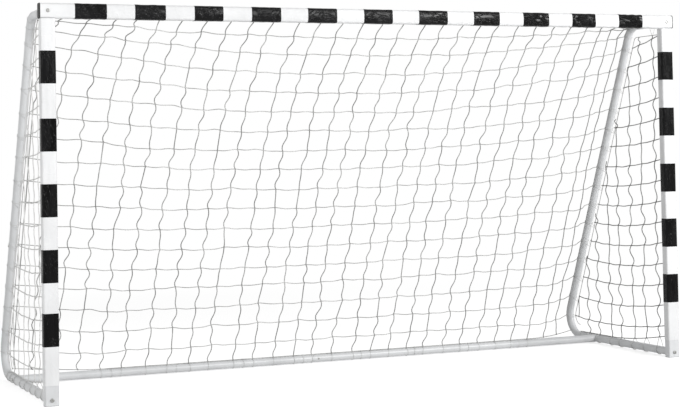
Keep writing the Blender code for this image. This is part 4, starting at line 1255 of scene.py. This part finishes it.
carried = dict(
    powder_coat=(whitePaint, ["crossbar_left", "crossbar_right"]),
    bare_steel=(bareSteel, ["crossbar_joiner", "post_left_joiner", "post_right_joiner",
                            "corner_insert_left", "corner_insert_right",
                            "top_end_plug_left", "top_end_plug_right",
                            "foot_end_plug_left", "foot_end_plug_right",
                            "rear_end_plug_left", "rear_end_plug_right"]),
    grey_plastic=(greyPlastic, ["post_foot_plug_left", "post_foot_plug_right"]))
for material, names in carried.values():
    for name in names:
        nodes[name].data.materials.clear()
        nodes[name].data.materials.append(material)


# Floor, light and background

stage = dict(
    floorColour=(0.80, 0.80, 0.80), floorHalf=40.0, whiteFrom=3.2, whiteTo=5.0, lift=0.62,
    sky=0.37,
    front=(3.6, -6.6, 3.0), frontPower=358, frontSize=(4.0, 1.2), frontAt=(0.0, 0.0, 0.8),
    left=(-3.6, -2.2, 1.5), leftPower=27, leftSize=(1.5, 1.5), leftAt=(-1.4, 0.0, 0.8),
    right=(5.6, -6.6, 1.9), rightPower=14, rightSize=(0.6, 0.6), rightAt=(1.0, 0.0, 1.0))


def seenDirectly(tree):
    # 1 for camera, glossy and transmission rays, which see the plain white background
    path = tree.nodes.new("ShaderNodeLightPath")
    either = mathNode(tree, "MAXIMUM", path.outputs["Is Camera Ray"],
                      path.outputs["Is Glossy Ray"])
    return mathNode(tree, "MAXIMUM", either, path.outputs["Is Transmission Ray"])


def makeFloor():
    # near the goal: plain diffuse with a lift that only the rays of seenDirectly see, so
    # shadows stay; further off it turns into the white background
    corners = np.array([[-1, -1], [1, -1], [1, 1], [-1, 1]]) * stage["floorHalf"]
    mesh = bpy.data.meshes.new("floor")
    mesh.from_pydata([(x, y, 0.0) for x, y in corners], [], [(0, 1, 2, 3)])
    floor = bpy.data.objects.new("floor", mesh)
    bpy.context.scene.collection.objects.link(floor)
    material = bpy.data.materials.new("floor")
    material.use_nodes = True
    tree = material.node_tree
    tree.nodes.remove(tree.nodes["Principled BSDF"])
    seen = seenDirectly(tree)
    matte = addNode(tree, "ShaderNodeBsdfDiffuse")
    matte.inputs["Color"].default_value = (*stage["floorColour"], 1.0)
    lift = tree.nodes.new("ShaderNodeEmission")
    tree.links.new(mathNode(tree, "MULTIPLY", seen, stage["lift"]), lift.inputs["Strength"])
    near = tree.nodes.new("ShaderNodeAddShader")
    tree.links.new(matte.outputs[0], near.inputs[0])
    tree.links.new(lift.outputs[0], near.inputs[1])
    white = tree.nodes.new("ShaderNodeEmission")
    tree.links.new(seen, white.inputs["Strength"])
    far = tree.nodes.new("ShaderNodeAddShader")
    grey = addNode(tree, "ShaderNodeBsdfDiffuse")
    tree.links.new(mathNode(tree, "SUBTRACT", 1.0, seen), grey.inputs["Color"])
    tree.links.new(white.outputs[0], far.inputs[0])
    tree.links.new(grey.outputs[0], far.inputs[1])
    place = tree.nodes.new("ShaderNodeTexCoord")
    length = tree.nodes.new("ShaderNodeVectorMath")
    length.operation = "LENGTH"
    tree.links.new(place.outputs["Object"], length.inputs[0])
    away = rampNode(tree, length.outputs["Value"], stage["whiteFrom"], stage["whiteTo"])
    mix = tree.nodes.new("ShaderNodeMixShader")
    tree.links.new(away, mix.inputs["Fac"])
    tree.links.new(near.outputs[0], mix.inputs[1])
    tree.links.new(far.outputs[0], mix.inputs[2])
    tree.links.new(mix.outputs[0], tree.nodes["Material Output"].inputs["Surface"])
    mesh.materials.append(material)


def makeSky():
    world = bpy.data.worlds.new("sky")
    world.use_nodes = True
    tree = world.node_tree
    back = tree.nodes["Background"]
    back.inputs["Color"].default_value = (1.0, 1.0, 1.0, 1.0)
    strength = mathNode(tree, "MULTIPLY_ADD", seenDirectly(tree), 1.0 - stage["sky"],
                        stage["sky"])
    tree.links.new(strength, back.inputs["Strength"])
    bpy.context.scene.world = world


def addLamp(name, place, power, sizes, target):
    light = bpy.data.lights.new(name, "AREA")
    light.shape = "RECTANGLE"
    light.size, light.size_y = sizes
    light.energy = power
    lamp = bpy.data.objects.new(name, light)
    bpy.context.scene.collection.objects.link(lamp)
    back = unit(np.array(place) - np.array(target))
    right = unit(np.cross([0.0, 0.0, 1.0], back))
    turn = Matrix((right, np.cross(back, right), back)).transposed().to_4x4()
    lamp.matrix_world = Matrix.Translation(place) @ turn


makeFloor()
makeSky()
for name in ("front", "left", "right"):
    addLamp(name + "Lamp", stage[name], stage[name + "Power"], stage[name + "Size"],
            stage[name + "At"])
bpy.context.scene.view_settings.view_transform = "Standard"
print("stage and light made")
